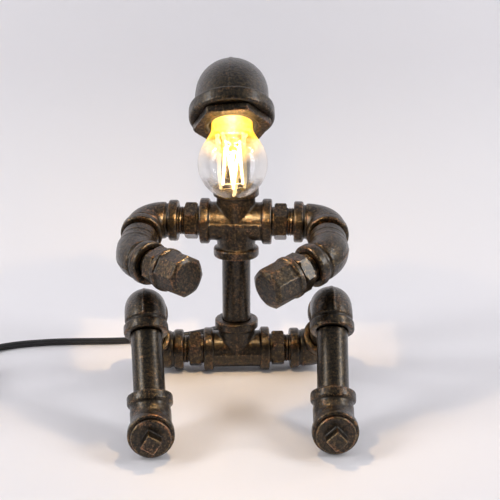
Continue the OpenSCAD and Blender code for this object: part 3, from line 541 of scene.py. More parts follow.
class GeometryTree(Group):
    """Geometry tree that takes one geometry and some values, and gives a finished mesh."""

    def __init__(self, name, inputs, first="Geometry in"):
        super().__init__(name, "GeometryNodeTree", {"Geometry": "Geometry"},
                         {first: "Geometry", **inputs})

    def circle(self, resolution, radius):
        return self.add("GeometryNodeCurvePrimitiveCircle", {
            "Resolution": resolution, "Radius": radius}).outputs[0]

    def vector(self, inputs):
        return self.add("ShaderNodeCombineXYZ", inputs).outputs[0]

    def instances(self, points, piece, scale):
        return self.add("GeometryNodeInstanceOnPoints", {
            "Points": points, "Instance": piece, "Scale": scale}).outputs[0]

    def sweep(self, curve, profile, **caps):
        return self.add("GeometryNodeCurveToMesh", {
            "Curve": curve, "Profile Curve": profile, **caps}).outputs[0]

    def smooth(self, geometry):
        return self.add("GeometryNodeSetShadeSmooth", {"Geometry": geometry}).outputs[0]

    def close(self, geometry, finish):
        """Ends the tree in Realize Instances and Set Material."""
        real = self.add("GeometryNodeRealizeInstances", {0: geometry})
        done = self.add("GeometryNodeSetMaterial", {
            "Geometry": real.outputs[0], "Material": finish})
        self.fill(self.target, {0: done.outputs[0]})


class Surface(Nodes):
    """New material, whose shader is Blender's own Principled."""

    def __init__(self, name):
        self.material = bpy.data.materials.new(name)
        self.material.use_nodes = True
        super().__init__(self.material.node_tree)

    def shade(self, inputs):
        self.fill(self.tree.nodes["Principled BSDF"], inputs)
        return self.material

    def group(self, name, maker, inputs):
        tree = bpy.data.node_groups.get(name) or maker(name)
        return self.add("ShaderNodeGroup", {"Vector": self.place(), **inputs},
                        node_tree=tree).outputs

    def relief(self, height, strength, depth):
        return self.add("ShaderNodeBump", {
            "Strength": strength, "Distance": depth, "Height": height}).outputs[0]


def run_tree(obj, tree, values, name):
    """Runs a geometry tree on an object and returns the plain result."""
    modifier = obj.modifiers.new(tree.tree.name, "NODES")
    modifier.node_group = tree.tree
    for label, value in values.items():
        modifier[tree.ids[label]] = value
    return plain(obj, name)


def thread_tree(finish):
    """Screw thread: a ridge that winds round an axis."""
    t = GeometryTree("Screw thread", floats("Crest radius", "Crest height", "Pitch", "Length"))
    src = t.source.outputs
    turns = t.math("DIVIDE", src["Length"], src["Pitch"])
    middle = t.math("SUBTRACT", src["Crest radius"], src["Crest height"])
    spiral = t.add("GeometryNodeCurveSpiral", {
        "Resolution": 40, "Rotations": turns, "Start Radius": middle, "End Radius": middle,
        "Height": src["Length"]}).outputs[0]
    ridge = t.circle(6, src["Crest height"])
    t.close(t.sweep(spiral, ridge, **{"Fill Caps": True}), finish)
    return t


def twin_cord_tree(finish):
    """Twin cord: a figure-of-eight section swept along a curve."""
    t = GeometryTree("Twin cord", floats("Width", "Core share", "Groove share"), "Curve")
    src = t.source.outputs
    ring = t.circle(28, 1.0)
    x, y, _ = t.add("ShaderNodeSeparateXYZ", {
        0: t.add("GeometryNodeInputPosition").outputs[0]}).outputs
    bulge = t.math("MULTIPLY_ADD", t.math("ABSOLUTE", x), src["Core share"], src["Groove share"])
    half = t.math("MULTIPLY", src["Width"], 0.5)
    point = t.vector({0: t.math("MULTIPLY", x, half),
                      1: t.math("MULTIPLY", t.math("MULTIPLY", y, bulge), half)})
    section = t.add("GeometryNodeSetPosition", {"Geometry": ring, "Position": point}).outputs[0]
    t.close(t.smooth(t.sweep(src["Curve"], section, **{"Fill Caps": True})), finish)
    return t


def bead_tree(finish):
    """Filament stick: a row of phosphor beads on a glass rod, from the origin along +Z."""
    t = GeometryTree("Filament beads", {**floats("Length", "Radius"), "Count": "Int"})
    src = t.source.outputs
    bead_share = 0.62
    step = t.math("DIVIDE", src["Length"], src["Count"])
    line = t.add("GeometryNodeMeshLine", {
        "Count": src["Count"], "Start Location": t.vector({2: t.math("MULTIPLY", step, 0.5)}),
        "Offset": t.vector({2: step})}, mode="OFFSET").outputs[0]
    ball = t.add("GeometryNodeMeshUVSphere", {
        "Segments": 14, "Rings": 9, "Radius": src["Radius"]}).outputs[0]
    stretch = t.math("DIVIDE", t.math("MULTIPLY", step, bead_share), src["Radius"])
    beads = t.instances(line, ball, t.vector({0: 1.0, 1: 1.0, 2: stretch}))
    t.close(t.smooth(beads), finish)
    return t


def rib_tree(finish):
    """Moulded ribs: rounded rings in a row, for the grip of the plug and the strain reliefs."""
    t = GeometryTree("Moulded ribs", {
        **floats("First radius", "Last radius", "Length"), "Count": "Int", "Thickness": "Float"})
    src = t.source.outputs
    count = t.math("SUBTRACT", src["Count"], 1.0)
    step = t.vector({2: t.math("DIVIDE", src["Length"], count)})
    line = t.add("GeometryNodeMeshLine", {"Count": src["Count"], "Offset": step},
                 mode="OFFSET").outputs[0]
    share = t.math("DIVIDE", t.add("GeometryNodeInputIndex").outputs[0], count)
    grow = t.math("MULTIPLY_ADD", share,
                  t.math("SUBTRACT", src["Last radius"], src["First radius"]), src["First radius"])
    rings = t.instances(line, t.circle(36, 1.0), t.vector({0: grow, 1: grow, 2: 1.0}))
    real = t.add("GeometryNodeRealizeInstances", {0: rings}).outputs[0]
    t.close(t.smooth(t.sweep(real, t.circle(8, src["Thickness"]))), finish)
    return t


# ---------- materials ----------


def patina_group(name):
    """Dark patina over bronze, rubbed bright on raised edges, with copper flecks and grain."""
    t = Group(name, "ShaderNodeTree",
              {"Color": "Color", **floats("Roughness", "Metallic", "Height")},
              {"Vector": "Vector", "Edge": "Float", "Dark": "Color", "Bronze": "Color",
               "Copper": "Color", **floats("Wear", "Grain size", "Speckle", "Shine")})
    src = t.source.outputs
    place, edge, dark, bronze = src["Vector"], src["Edge"], src["Dark"], src["Bronze"]
    fine_scale = t.math("DIVIDE", 1.0, src["Grain size"])
    fine = t.noise(place, fine_scale, 5.0, Roughness=0.62)
    mid = t.noise(place, t.math("MULTIPLY", fine_scale, 0.28), 4.0, Roughness=0.6)
    broad = t.noise(place, t.math("MULTIPLY", fine_scale, 0.06), 3.0, Roughness=0.5)
    pits = t.add("ShaderNodeTexVoronoi", {
        "Vector": place, "Scale": t.math("MULTIPLY", fine_scale, 0.9)}).outputs["Distance"]
    raised = t.math("MAXIMUM", edge, 0.0)
    sunk = t.math("MAXIMUM", t.math("MULTIPLY", edge, -1.0), 0.0)
    # Three sizes of noise decide where the bronze shows, and edges push it up
    blend = t.math("MULTIPLY_ADD", fine, 0.5, t.math("MULTIPLY", mid, 0.32))
    blend = t.math("MULTIPLY_ADD", broad, 0.18, blend)
    lifted = t.math("MULTIPLY_ADD", t.math("MULTIPLY", raised, src["Wear"]), 0.34, blend)
    lifted = t.math("MULTIPLY_ADD", sunk, -0.12, lifted)
    threshold = t.math("SUBTRACT", 0.60, t.math("MULTIPLY", src["Speckle"], 0.1))
    gold = t.ramp(lifted, threshold, t.math("ADD", threshold, 0.11))
    tone = t.mix(t.ramp(broad, 0.40, 0.62), bronze, src["Copper"])
    lighter = t.mix(t.ramp(mid, 0.35, 0.70), dark, t.mix(0.16, dark, bronze))
    base = t.mix(gold, lighter, tone)
    # The bronze is smoother and more metallic than the patina
    shine = t.math("SUBTRACT", 0.31, t.math("MULTIPLY", src["Shine"], 0.2))
    rough = t.math("MULTIPLY_ADD", fine, 0.26, shine)
    t.fill(t.target, {
        "Color": t.mix(t.math("MULTIPLY", sunk, 0.6), base, dark),
        "Roughness": t.math("SUBTRACT", rough, t.math("MULTIPLY", gold, 0.07)),
        "Metallic": t.math("MULTIPLY_ADD", gold, 0.12, 0.86),
        "Height": t.math("MULTIPLY_ADD", pits, 0.35, fine)})
    return t.tree


def bronze_material(name, speckle, shine, grain_size, bump, wear=None):
    s = settings().bronze
    m = Surface(name)
    patina = m.group("Rubbed patina", patina_group, {
        "Edge": m.attribute("edge_wear"), "Dark": (*s.dark, 1), "Bronze": (*s.bronze, 1),
        "Copper": (*s.copper, 1), "Wear": s.wear if wear is None else wear,
        "Grain size": grain_size, "Speckle": speckle, "Shine": shine})
    return m.shade({
        "Base Color": patina["Color"], "Roughness": patina["Roughness"],
        "Metallic": patina["Metallic"], "Coat Weight": s.wax, "Coat Roughness": s.wax_roughness,
        "Normal": m.relief(patina["Height"], bump, s.relief)})


def surface_group(name):
    """Faint mottling and micro relief for plastics and plain metals."""
    t = Group(name, "ShaderNodeTree", {"Color": "Color", **floats("Roughness", "Height")},
              {"Vector": "Vector", "Base": "Color", "Tint": "Color", **floats("Scale", "Rough")})
    src = t.source.outputs
    fine = t.add("ShaderNodeTexNoise", {
        "Vector": src["Vector"], "Scale": src["Scale"], "Detail": 4.0}).outputs[0]
    broad = t.noise(src["Vector"], t.math("MULTIPLY", src["Scale"], 0.07), 2.0)
    spread = t.math("MULTIPLY", t.math("SUBTRACT", fine, 0.5), 0.14)
    t.fill(t.target, {
        "Color": t.mix(t.ramp(broad, 0.35, 0.7), src["Base"], src["Tint"]),
        "Roughness": t.math("ADD", src["Rough"], spread), "Height": fine})
    return t.tree


def plain_material(name, base, tint, rough, metallic=0.0, bump=0.15):
    m = Surface(name)
    face = m.group("Fine surface", surface_group, {
        "Base": (*base, 1), "Tint": (*tint, 1), "Scale": 1500.0, "Rough": rough})
    return m.shade({
        "Base Color": face["Color"], "Roughness": face["Roughness"], "Metallic": metallic,
        "Normal": m.relief(face["Height"], bump, 0.1 * MM)})


def glass_material(name, tint, clear, edge, glow, strength, neck=None):
    """Thin clear glass: nearly open face on, and a bright rim where it turns away."""
    m = Surface(name)
    rim = m.add("ShaderNodeLayerWeight", {"Blend": 0.32}).outputs["Facing"]
    alpha = m.add("ShaderNodeMapRange", {
        "Value": rim, "From Min": 0.0, "From Max": 1.0, "To Min": clear, "To Max": edge}).outputs[0]
    # Painted glow: the neck's orange emission comes from its attribute. It stands in for the
    # filaments' light shining in the glass neck, and it makes the neck less clear
    if neck:
        strength = m.attribute(neck)
        alpha = m.math("MAXIMUM", alpha, strength)
    m.material.surface_render_method = "BLENDED"
    # Emission Color and Emission Strength paint light onto the glass: this is painted glow, not a
    # lamp
    return m.shade({
        "Base Color": (*tint, 1), "Roughness": 0.02, "IOR": 1.5, "Transmission Weight": 1.0,
        "Emission Color": (*glow, 1), "Emission Strength": strength, "Alpha": alpha})


def glowing_material(name):
    b = settings().bulb
    m = Surface(name)
    spots = m.add("ShaderNodeTexNoise", {"Vector": m.place(), "Scale": 700}).outputs[0]
    tone = m.mix(spots, (*b.glow, 1), (*b.pale_glow, 1))
    return m.shade({"Base Color": tone, "Emission Color": tone, "Roughness": 0.6,
                    "Emission Strength": b.filament_strength})


FINISHES = {
    # Name, share of flecks, shine, size of the grain, depth of the relief, wear of the edges
    "cast": (bronze_material, "Cast bronze", 0.6, 0.5, 0.55 * MM, 0.75),
    "head": (bronze_material, "Head casting", 0.42, 0.5, 0.5 * MM, 0.8),
    "pipe": (bronze_material, "Drawn pipe bronze", 0.36, 0.7, 0.5 * MM, 0.4),
    "hex": (bronze_material, "Forged hex bronze", 0.75, 0.5, 0.5 * MM, 0.8, 0.14),
    "bushing": (bronze_material, "Bushing bronze", 0.75, 0.5, 0.5 * MM, 0.7, 0.14),
    "plug": (bronze_material, "Foot plug copper", 0.60, 0.5, 0.5 * MM, 0.5, 0.3),
    # Name, two colours, roughness, metallic, depth of the relief
    "black": (plain_material, "Moulded black",
              (0.016, 0.016, 0.018), (0.024, 0.024, 0.026), 0.42),
    "cord": (plain_material, "Cord black",
             (0.012, 0.012, 0.013), (0.02, 0.02, 0.021), 0.38, 0.0, 0.08),
    "wire": (plain_material, "Wire insulation", (0.02, 0.02, 0.024), (0.03, 0.03, 0.034), 0.5),
    "holder": (plain_material, "Holder black", (0.02, 0.018, 0.016), (0.03, 0.026, 0.022), 0.4),
    "brass": (plain_material, "Sleeve brass", (0.72, 0.47, 0.16), (0.60, 0.38, 0.12), 0.3, 1.0),
    "cap": (plain_material, "Rolled cap metal", (0.62, 0.56, 0.46), (0.5, 0.46, 0.4), 0.28, 1.0),
    "pin": (plain_material, "Nickel pin", (0.60, 0.58, 0.54), (0.52, 0.5, 0.47), 0.22, 1.0),
    "tip": (plain_material, "Black tip", (0.015, 0.014, 0.016), (0.022, 0.02, 0.022), 0.2),
    # Name, tint, opacity face on and at the rim, colour and strength of the painted glow, its
    # attribute
    "glass": (glass_material, "Clear bulb glass", (0.93, 0.93, 0.93), 0.045, 0.75,
              (1.0, 0.50, 0.015), 0.0, "neck_glow"),
    # The stem glass's faint orange emission is a painted glow for the filaments' light falling on
    # the stem
    "stem": (glass_material, "Stem glass", (1.0, 0.9, 0.7), 0.25, 0.8, (1.0, 0.52, 0.06), 0.3),
    "glow": (glowing_material, "Lit phosphor"),
}
TREES = {"thread": (thread_tree, "hex"), "cord": (twin_cord_tree, "cord"),
         "beads": (bead_tree, "glow"), "ribs": (rib_tree, "black")}


@cache
def material(key):
    """Each finish of the lamp, made once."""
    maker, *values = FINISHES[key]
    return maker(*values)


@cache
def shared_tree(key):
    """Each geometry tree of the lamp, made once."""
    maker, finish = TREES[key]
    return maker(material(finish))


# ---------- shared copies ----------


def crisp_copy(node, bevel, segments=2, angle=30):
    """Copy of a machined or moulded node with small rounded edges."""
    obj = put_object(node + "_raw", node_mesh(node, node + "_raw"))
    if bevel:
        round_off = obj.modifiers.new("round", "BEVEL")
        round_off.width = bevel
        round_off.segments = segments
        round_off.limit_method = "ANGLE"
        round_off.angle_limit = math.radians(angle)
    obj = plain(obj, node + "_finished")
    smooth_faces(obj.data, angle)
    return obj


def crisp_piece(node, bevel, finish, segments=2):
    obj = crisp_copy(node, bevel, segments)
    finish_piece(obj, [node], finish)
    return obj


def moulded_piece(node, bevel, extra, segments=3, angle=35):
    """Black moulding with extra meshes, such as ribs, on it."""
    obj = crisp_copy(node, bevel, segments)
    obj.data = joined(node + "_finished", [obj.data, *extra])
    smooth_faces(obj.data, angle)
    finish_piece(obj, [node], "black")
    return obj


def soft_copy(node):
    """Rounded copy of a flexible node."""
    obj = put_object(node + "_raw", node_mesh(node, node + "_raw"))
    finer = obj.modifiers.new("finer", "SUBSURF")
    finer.levels = finer.render_levels = 2
    obj = plain(obj, node + "_finished")
    smooth_faces(obj.data)
    return obj


def islands(mesh):
    """Vertex places of each loose part of a mesh."""
    label = np.arange(len(mesh.vertices))
    a, b = edge_ends(mesh)
    while True:
        low = np.minimum(label[a], label[b])
        before = label.copy()
        np.minimum.at(label, a, low)
        np.minimum.at(label, b, low)
        if (label == before).all():
            break
    co = points_of(mesh).astype(np.float64)
    return [co[label == k] for k in np.unique(label)]


def upright(start, direction):
    """Matrix that puts the origin at start and +Z along direction."""
    turn = Vector((0, 0, 1)).rotation_difference(Vector(direction).normalized())
    matrix = turn.to_matrix().to_4x4()
    matrix.translation = Vector(start)
    return matrix


def tube_between(start, end, radius, sides=10):
    start, end = Vector(start), Vector(end)
    span = (end - start).length
    tip = 0.02 * MM
    mesh = spun([(0, tip, 0), (0, radius, 0), (span, radius, 0), (span, tip, 0)], sides)
    mesh.transform(upright(start, end - start))
    return mesh


def tree_mesh(key, values, matrix=None):
    """Mesh that a geometry tree makes by itself."""
    seed = bpy.data.meshes.new("seed")
    obj = run_tree(put_object("seed", seed), shared_tree(key), values, "made")
    mesh = obj.data
    bpy.data.objects.remove(obj, do_unlink=True)
    if matrix is not None:
        mesh.transform(matrix)
    return mesh


def ribs_at(start, way, first, last, span, count, thickness):
    """Row of ribs from a place along a direction, with its sizes in millimetres."""
    return tree_mesh("ribs", {
        "First radius": first * MM, "Last radius": last * MM, "Length": span * MM,
        "Count": count, "Thickness": thickness * MM}, upright(start, way))


def thread_mesh(matrix, from_z, to_z):
    """Threaded length along a place's axis, with rubbed crests."""
    f = settings().fitting
    crest_from, crest_run, crest_wear = 0.96, 0.04, 0.55
    spiral = tree_mesh("thread", {
        "Crest radius": f.thread_radius, "Crest height": f.thread_height,
        "Pitch": f.thread_pitch, "Length": to_z - from_z})
    radial = np.linalg.norm(points_of(spiral)[:, :2], axis=1)
    set_edge_wear(spiral, crest_wear * np.clip(
        (radial / f.thread_radius - crest_from) / crest_run, -1, 1))
    spiral.transform(matrix @ Matrix.Translation((0, 0, from_z)))
    return spiral


def add_light(name, kind, place, power):
    """New light that the camera doesn't see."""
    data = bpy.data.lights.new(name, kind)
    data.energy = power
    lamp = put_object(name, data)
    lamp.location = place
    lamp.visible_camera = False
    return lamp


def aim(obj, target):
    obj.rotation_euler = (target - obj.location).to_track_quat("-Z", "Y").to_euler()


# ---------- operators ----------

# Studio lights: name, place beside the aim, setting that holds the power, size in metres
STUDIO_LIGHTS = (
    ("softbox_left", (-1.32, -0.48, 0.66), "softbox", (0.36, 0.62)),
    ("softbox_right", (1.32, -0.48, 0.66), "softbox", (0.36, 0.62)),
    ("kicker_left", (-1.10, 0.02, 0.95), "kicker", (0.22, 0.40)),
    ("kicker_right", (1.10, 0.02, 0.95), "kicker", (0.22, 0.40)),
    ("softbox_top", (0.0, 0.1, 2.1), "top", (1.6, 1.0)),
)
# The studio lights' aim: in front of the spine, and its height
AIM_FORWARD, AIM_Z = 0.05, 0.11
# How far the floor and wall reach, in metres
FLOOR_FRONT, FLOOR_BACK, FLOOR_SIDE, WALL_TOP = -30.0, 8.0, 6.0, 5.0
# The even light fades between these forward shares of the view direction
FADE_FROM, FADE_TO = 0.15, 0.75


class PieceOperator:
    """What each operator of the lamp shares."""

    bl_options = {"REGISTER", "UNDO"}

    def execute(self, context):
        self.make()
        return {"FINISHED"}


class LAMP_OT_studio(PieceOperator, bpy.types.Operator):
    """Adds the camera, the pale sweep of floor and wall, and the lights"""

    bl_idname = "lamp.studio"
    bl_label = "Studio"

    def make(self):
        self.spine = middle_of("spine_pipe")
        self.camera()
        self.sweep()
        self.lights()

    def camera(self):
        c = settings().camera
        target = Vector((self.spine.x + c.target_x, self.spine.y, c.target_z))
        away = Vector((math.sin(c.azimuth) * math.cos(c.elevation),
                       -math.cos(c.azimuth) * math.cos(c.elevation), math.sin(c.elevation)))
        data = bpy.data.cameras.new("camera")
        data.lens, data.sensor_width, data.shift_y = c.lens, 36, c.shift_y
        data.clip_start, data.clip_end = 0.05, 20
        cam = put_object("camera", data)
        cam.location = target + away * c.distance
        cam.rotation_euler = (-away).to_track_quat("-Z", "Y").to_euler()
        bpy.context.scene.camera = cam

    def sweep(self):
        s = settings().studio
        back = self.spine.y + s.wall_distance
        bend = s.sweep_radius
        steps = 24
        line = [(FLOOR_FRONT, 0.0), (back - bend, 0.0)]
        line += [(back - bend + bend * math.sin(a), bend * (1 - math.cos(a)))
                 for a in (math.pi / 2 * i / steps for i in range(1, steps + 1))]
        line.append((back, WALL_TOP))
        sides = (-FLOOR_SIDE, FLOOR_SIDE)
        verts = [(x, y, z) for y, z in line for x in sides]
        faces = [(2 * i, 2 * i + 1, 2 * i + 3, 2 * i + 2) for i in range(len(line) - 1)]
        first = len(verts)
        verts += [(x, y, -0.2 * MM) for y in (back - bend, FLOOR_BACK) for x in sides]
        faces.append((first, first + 1, first + 3, first + 2))
        mesh = bpy.data.meshes.new("sweep")
        mesh.from_pydata(verts, [], faces)
        smooth_faces(mesh)
        # The wall shows from its front only, so that it never hides the lamp
        paper = Surface("Sweep paper")
        behind = paper.add("ShaderNodeNewGeometry").outputs["Backfacing"]
        mesh.materials.append(paper.shade({
            "Base Color": (*s.floor, 1), "Roughness": 0.5,
            "Alpha": paper.math("SUBTRACT", 1.0, behind)}))
        put_object("sweep", mesh)

    def lights(self):
        s = settings().studio
        middle = Vector((self.spine.x, self.spine.y - AIM_FORWARD, AIM_Z))
        for name, place, power, size in STUDIO_LIGHTS:
            lamp = add_light(name, "AREA", middle + Vector(place), getattr(s, power))
            lamp.data.shape, lamp.data.size, lamp.data.size_y = "RECTANGLE", *size
            aim(lamp, middle)
        world = bpy.data.worlds.new("even light")
        world.use_nodes = True
        sky = Nodes(world.node_tree)
        way = sky.add("ShaderNodeNewGeometry").outputs["Incoming"]
        fade = sky.add("ShaderNodeMapRange", {
            "Value": sky.add("ShaderNodeSeparateXYZ", {0: way}).outputs["Y"],
            "From Min": FADE_FROM, "From Max": FADE_TO, "To Min": s.sky,
            "To Max": s.sky * s.room}, interpolation_type="SMOOTHSTEP")
        sky.fill(world.node_tree.nodes["Background"], {
            "Color": (*s.sky_colour, 1), "Strength": fade.outputs[0]})
        bpy.context.scene.world = world


class LAMP_OT_cords(PieceOperator, bpy.types.Operator):
    """Lays the twin cord: from the lamp to its switch, and on through the coil to the plug"""

    bl_idname = "lamp.cords"
    bl_label = "Cord"

    def make(self):
        low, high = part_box("strain_relief")
        start = Vector(((low.x + high.x) / 2, high.y, (low.z + high.z) / 2)) / MM
        lead = curve_through([tuple(start), (start.x, EXIT_Y, EXIT_Z)] + LEAD_ROUTE)
        self.lay("lamp_cord", lead, ["cord_lead"])
        coil = coil_points()
        link = curve_through(LINK_ROUTE + coil[:1])[:-1]
        rest = link + coil + curve_through([coil[-1]] + TAIL_ROUTE)[1:]
        self.lay("plug_cord", rest, ["cord_link", "cord_coil", "cord_tail"])

    def lay(self, name, line, nodes):
        c = settings().cord
        curve = bpy.data.curves.new(name, "CURVE")
        curve.dimensions, curve.twist_mode = "3D", "Z_UP"
        spline = curve.splines.new("POLY")
        spline.points.add(len(line) - 1)
        for point, place in zip(spline.points, line):
            point.co = (*(Vector(place) * MM), 1)
            point.tilt = c.tilt
        obj = run_tree(put_object(name, curve), shared_tree("cord"), {
            "Width": c.width, "Core share": c.core, "Groove share": c.groove}, name)
        finish_piece(obj, nodes, "cord")


class LAMP_OT_switch(PieceOperator, bpy.types.Operator):
    bl_idname = "lamp.switch"
    bl_label = "Inline switch"

    def make(self):
        low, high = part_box("switch_case")
        z = CORD_Z * MM
        x = (low.x + high.x) / 2
        ribs = [ribs_at((x, y, z), (0, way, 0), 3.3, 4.4, 4.4, 4, 0.45)
                for y, way in ((high.y - 0.6 * MM, -1), (low.y + 0.6 * MM, 1))]
        screws = []
        for dx, dy in ((6, 22), (-6, -22)):
            at = (x + dx * MM, (low.y + high.y) / 2 + dy * MM)
            screws.append(tube_between((*at, 0.1 * MM), (*at, 1.2 * MM), 1.6 * MM, 20))
        case = moulded_piece("switch_case", 0.7 * MM, ribs + screws)
        rocker = crisp_piece("switch_rocker", 0.4 * MM, "black", 3)
        blades = crisp_piece("switch_contacts", 0.15 * MM, "brass")


class LAMP_OT_plug(PieceOperator, bpy.types.Operator):
    """Makes the plug with its sleeve and pins and the coil's strap"""

    bl_idname = "lamp.plug"
    bl_label = "Plug"

    def make(self):
        low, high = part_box("plug_body")
        x, z = (low.x + high.x) / 2, (low.z + high.z) / 2
        ribs = ribs_at((x, low.y + 1 * MM, z), (0, 1, 0), 3.4, 5.2, 9, 6, 0.5)
        body = moulded_piece("plug_body", 1.2 * MM, [ribs])
        pins = crisp_piece("plug_pins", 0.25 * MM, "pin")
        strap = crisp_piece("coil_tie", 0.4 * MM, "black", 3)


class LAMP_OT_castings(PieceOperator, bpy.types.Operator):
    """Makes the sand-cast elbows, tee and cross with soft edges, grain and rubbed rims"""

    bl_idname = "lamp.castings"
    bl_label = "Castings"

    def make(self):
        paired = ("hip_elbow", "knee_elbow", "foot_elbow", "shoulder_elbow", "forearm")
        nodes = ["pelvis_tee", "chest_cross", "neck_elbow", "head_elbow"]
        nodes += [f"{p}_{side}" for p in paired for side in SIDES]
        for seed, node in enumerate(nodes):
            extra = self.cross_ridges() if node == "chest_cross" else ()
            obj = cast_copy(node, settings().bronze.voxel, 5, seed + 1, extra)
            finish_piece(obj, [node], "head" if node == "head_elbow" else "cast")

    def cross_ridges(self):
        """Raised casting lines that run in a V from the neck port down to a small boss."""
        f = settings().fitting
        arm = TurnedPlace("shoulder_nipple_left")
        spine = middle_of("spine_pipe")
        centre = Vector((spine.x, spine.y, arm.start.z))
        side = Vector((arm.axis.x, arm.axis.y, 0)).normalized()
        if side.x < 0:
            side = -side
        front = side.cross(Vector((0, 0, 1)))
        if front.y > 0:
            front = -front
        r = f.cross_radius
        steps = 14
        meshes = []
        for way in (-1, 1):
            line = [centre + side * (way * r * t) + Vector((0, 0, r * t))
                    + front * math.sqrt(max(r * r - (r * t) ** 2, 0))
                    for t in (i / steps for i in range(steps + 1))]
            meshes += [tube_between(a, b, f.ridge_radius, 12)
                       for a, b in zip(line[:-2], line[1:-1])]
        sunk, proud = 2 * MM, 0.5 * MM
        boss = (centre + front * (r - sunk), centre + front * (r + proud))
        meshes.append(tube_between(*boss, f.boss_radius, 24))
        return meshes


class LAMP_OT_ends(PieceOperator, bpy.types.Operator):
    """Makes the hand caps, the square-headed foot plugs and the hex bushing of the head"""

    bl_idname = "lamp.ends"
    bl_label = "Caps, plugs and bushing"

    def make(self):
        f = settings().fitting
        turns = (f.plug_turn_left, f.plug_turn_right)
        cap_voxel, fine_voxel = 0.48 * MM, 0.42 * MM
        for seed, (side, turn) in enumerate(zip(SIDES, turns)):
            cap, foot = f"hand_cap_{side}", f"foot_plug_{side}"
            finish_piece(cast_copy(cap, cap_voxel, 3, 20 + seed), [cap], "hex")
            at = TurnedPlace(foot)
            spin = (Matrix.Translation(at.start) @ Matrix.Rotation(turn, 4, at.axis)
                    @ Matrix.Translation(-at.start))
            plug = cast_copy(foot, fine_voxel, 2, 30 + seed, turn=spin)
            finish_piece(plug, [foot], "plug")
        bushing = cast_copy("head_bushing", fine_voxel, 2, 40)
        finish_piece(bushing, ["head_bushing"], "bushing")


class LAMP_OT_nipples(PieceOperator, bpy.types.Operator):
    """Turns the hex nipples with their wound threads"""

    bl_idname = "lamp.nipples"
    bl_label = "Nipples"

    def make(self):
        f = settings().fitting
        for part in ("hip", "shoulder", "wrist"):
            for side in SIDES:
                self.hexed(f"{part}_nipple_{side}",
                           f.wrist_hex_length if part == "wrist" else f.hex_length)
        place = TurnedPlace("head_nipple")
        self.close("head_nipple", place, self.body([], f.grip, place.span), f.grip)

    def hexed(self, node, hex_length):
        f = settings().fitting
        place = TurnedPlace(node)
        corner = f.hex_width / 2 / math.cos(math.pi / 6)
        chamfer = 0.8 * MM
        shoulder = f.grip + f.shoulder_gap
        base = f.grip + f.collar
        top = base + hex_length
        rings = [
            (shoulder, f.collar_radius - 0.3 * MM, 0.2),
            (shoulder + 0.3 * MM, f.collar_radius, 0.5),
            (base, f.collar_radius, -0.4), (base, corner - 1.6 * chamfer, 0.1, True),
            (base + chamfer, corner, 0.7, True), (base + chamfer + 0.4 * MM, corner, 0.1, True),
            (top - chamfer - 0.4 * MM, corner, 0.1, True), (top - chamfer, corner, 0.7, True),
            (top, corner - 1.6 * chamfer, 0.1, True), (top, f.collar_radius - 0.8 * MM, -0.6),
        ]
        mesh = self.body(rings, top, place.span)
        roughen(mesh, 0.06 * MM, 1.2 * MM, hash_of(node))
        self.close(node, place, mesh, top)

    def body(self, rings, top, span):
        f = settings().fitting
        root = f.thread_radius - f.thread_height
        start = [(0, root, 0), (f.grip - 0.2 * MM, root, 0)]
        end = [(top + 0.01 * MM, root, -0.7), (span, root, 0), (span, f.bore, 0), (0, f.bore, 0)]
        return spun(start + rings + end, 96, 6, f.hex_width)

    def close(self, node, place, mesh, top):
        f = settings().fitting
        mesh.transform(place.matrix)
        thread = thread_mesh(place.matrix, top + 0.3 * MM, place.span - f.grip + 0.6 * MM)
        whole = joined(node + "_finished", [mesh, thread])
        finish_mesh(node, whole, 40, "hex")


class LAMP_OT_pipes(PieceOperator, bpy.types.Operator):
    """Makes the plain pipes of the limbs, the spine and the neck"""

    bl_idname = "lamp.pipes"
    bl_label = "Pipes"

    def make(self):
        limbs = [f"{part}_pipe_{side}" for part in ("thigh", "shin") for side in SIDES]
        for node in ["spine_pipe", "neck_pipe"] + limbs:
            self.pipe(node)

    def pipe(self, node):
        f = settings().fitting
        place = TurnedPlace(node)
        hidden = f.grip + f.shoulder_gap
        root = f.thread_radius - f.thread_height
        edge = 0.3 * MM
        shown = place.span - 2 * hidden
        steps = max(8, int(shown / (1.2 * MM)))
        rings = [(0, root, 0), (hidden, root, 0), (hidden, place.radius - edge, 0.3)]
        rings += [(hidden + edge + (shown - 0.6 * MM) * i / steps, place.radius,
                   0.25 if i in (0, steps) else 0) for i in range(steps + 1)]
        rings += [(place.span - hidden, place.radius - edge, 0.3), (place.span - hidden, root, 0),
                  (place.span, root, 0), (place.span, f.pipe_bore, 0), (0, f.pipe_bore, 0)]
        mesh = spun(rings, 80)
        roughen(mesh, 0.03 * MM, 2 * MM, hash_of(node))
        mesh.transform(place.matrix)
        finish_mesh(node, mesh, 40, "pipe")


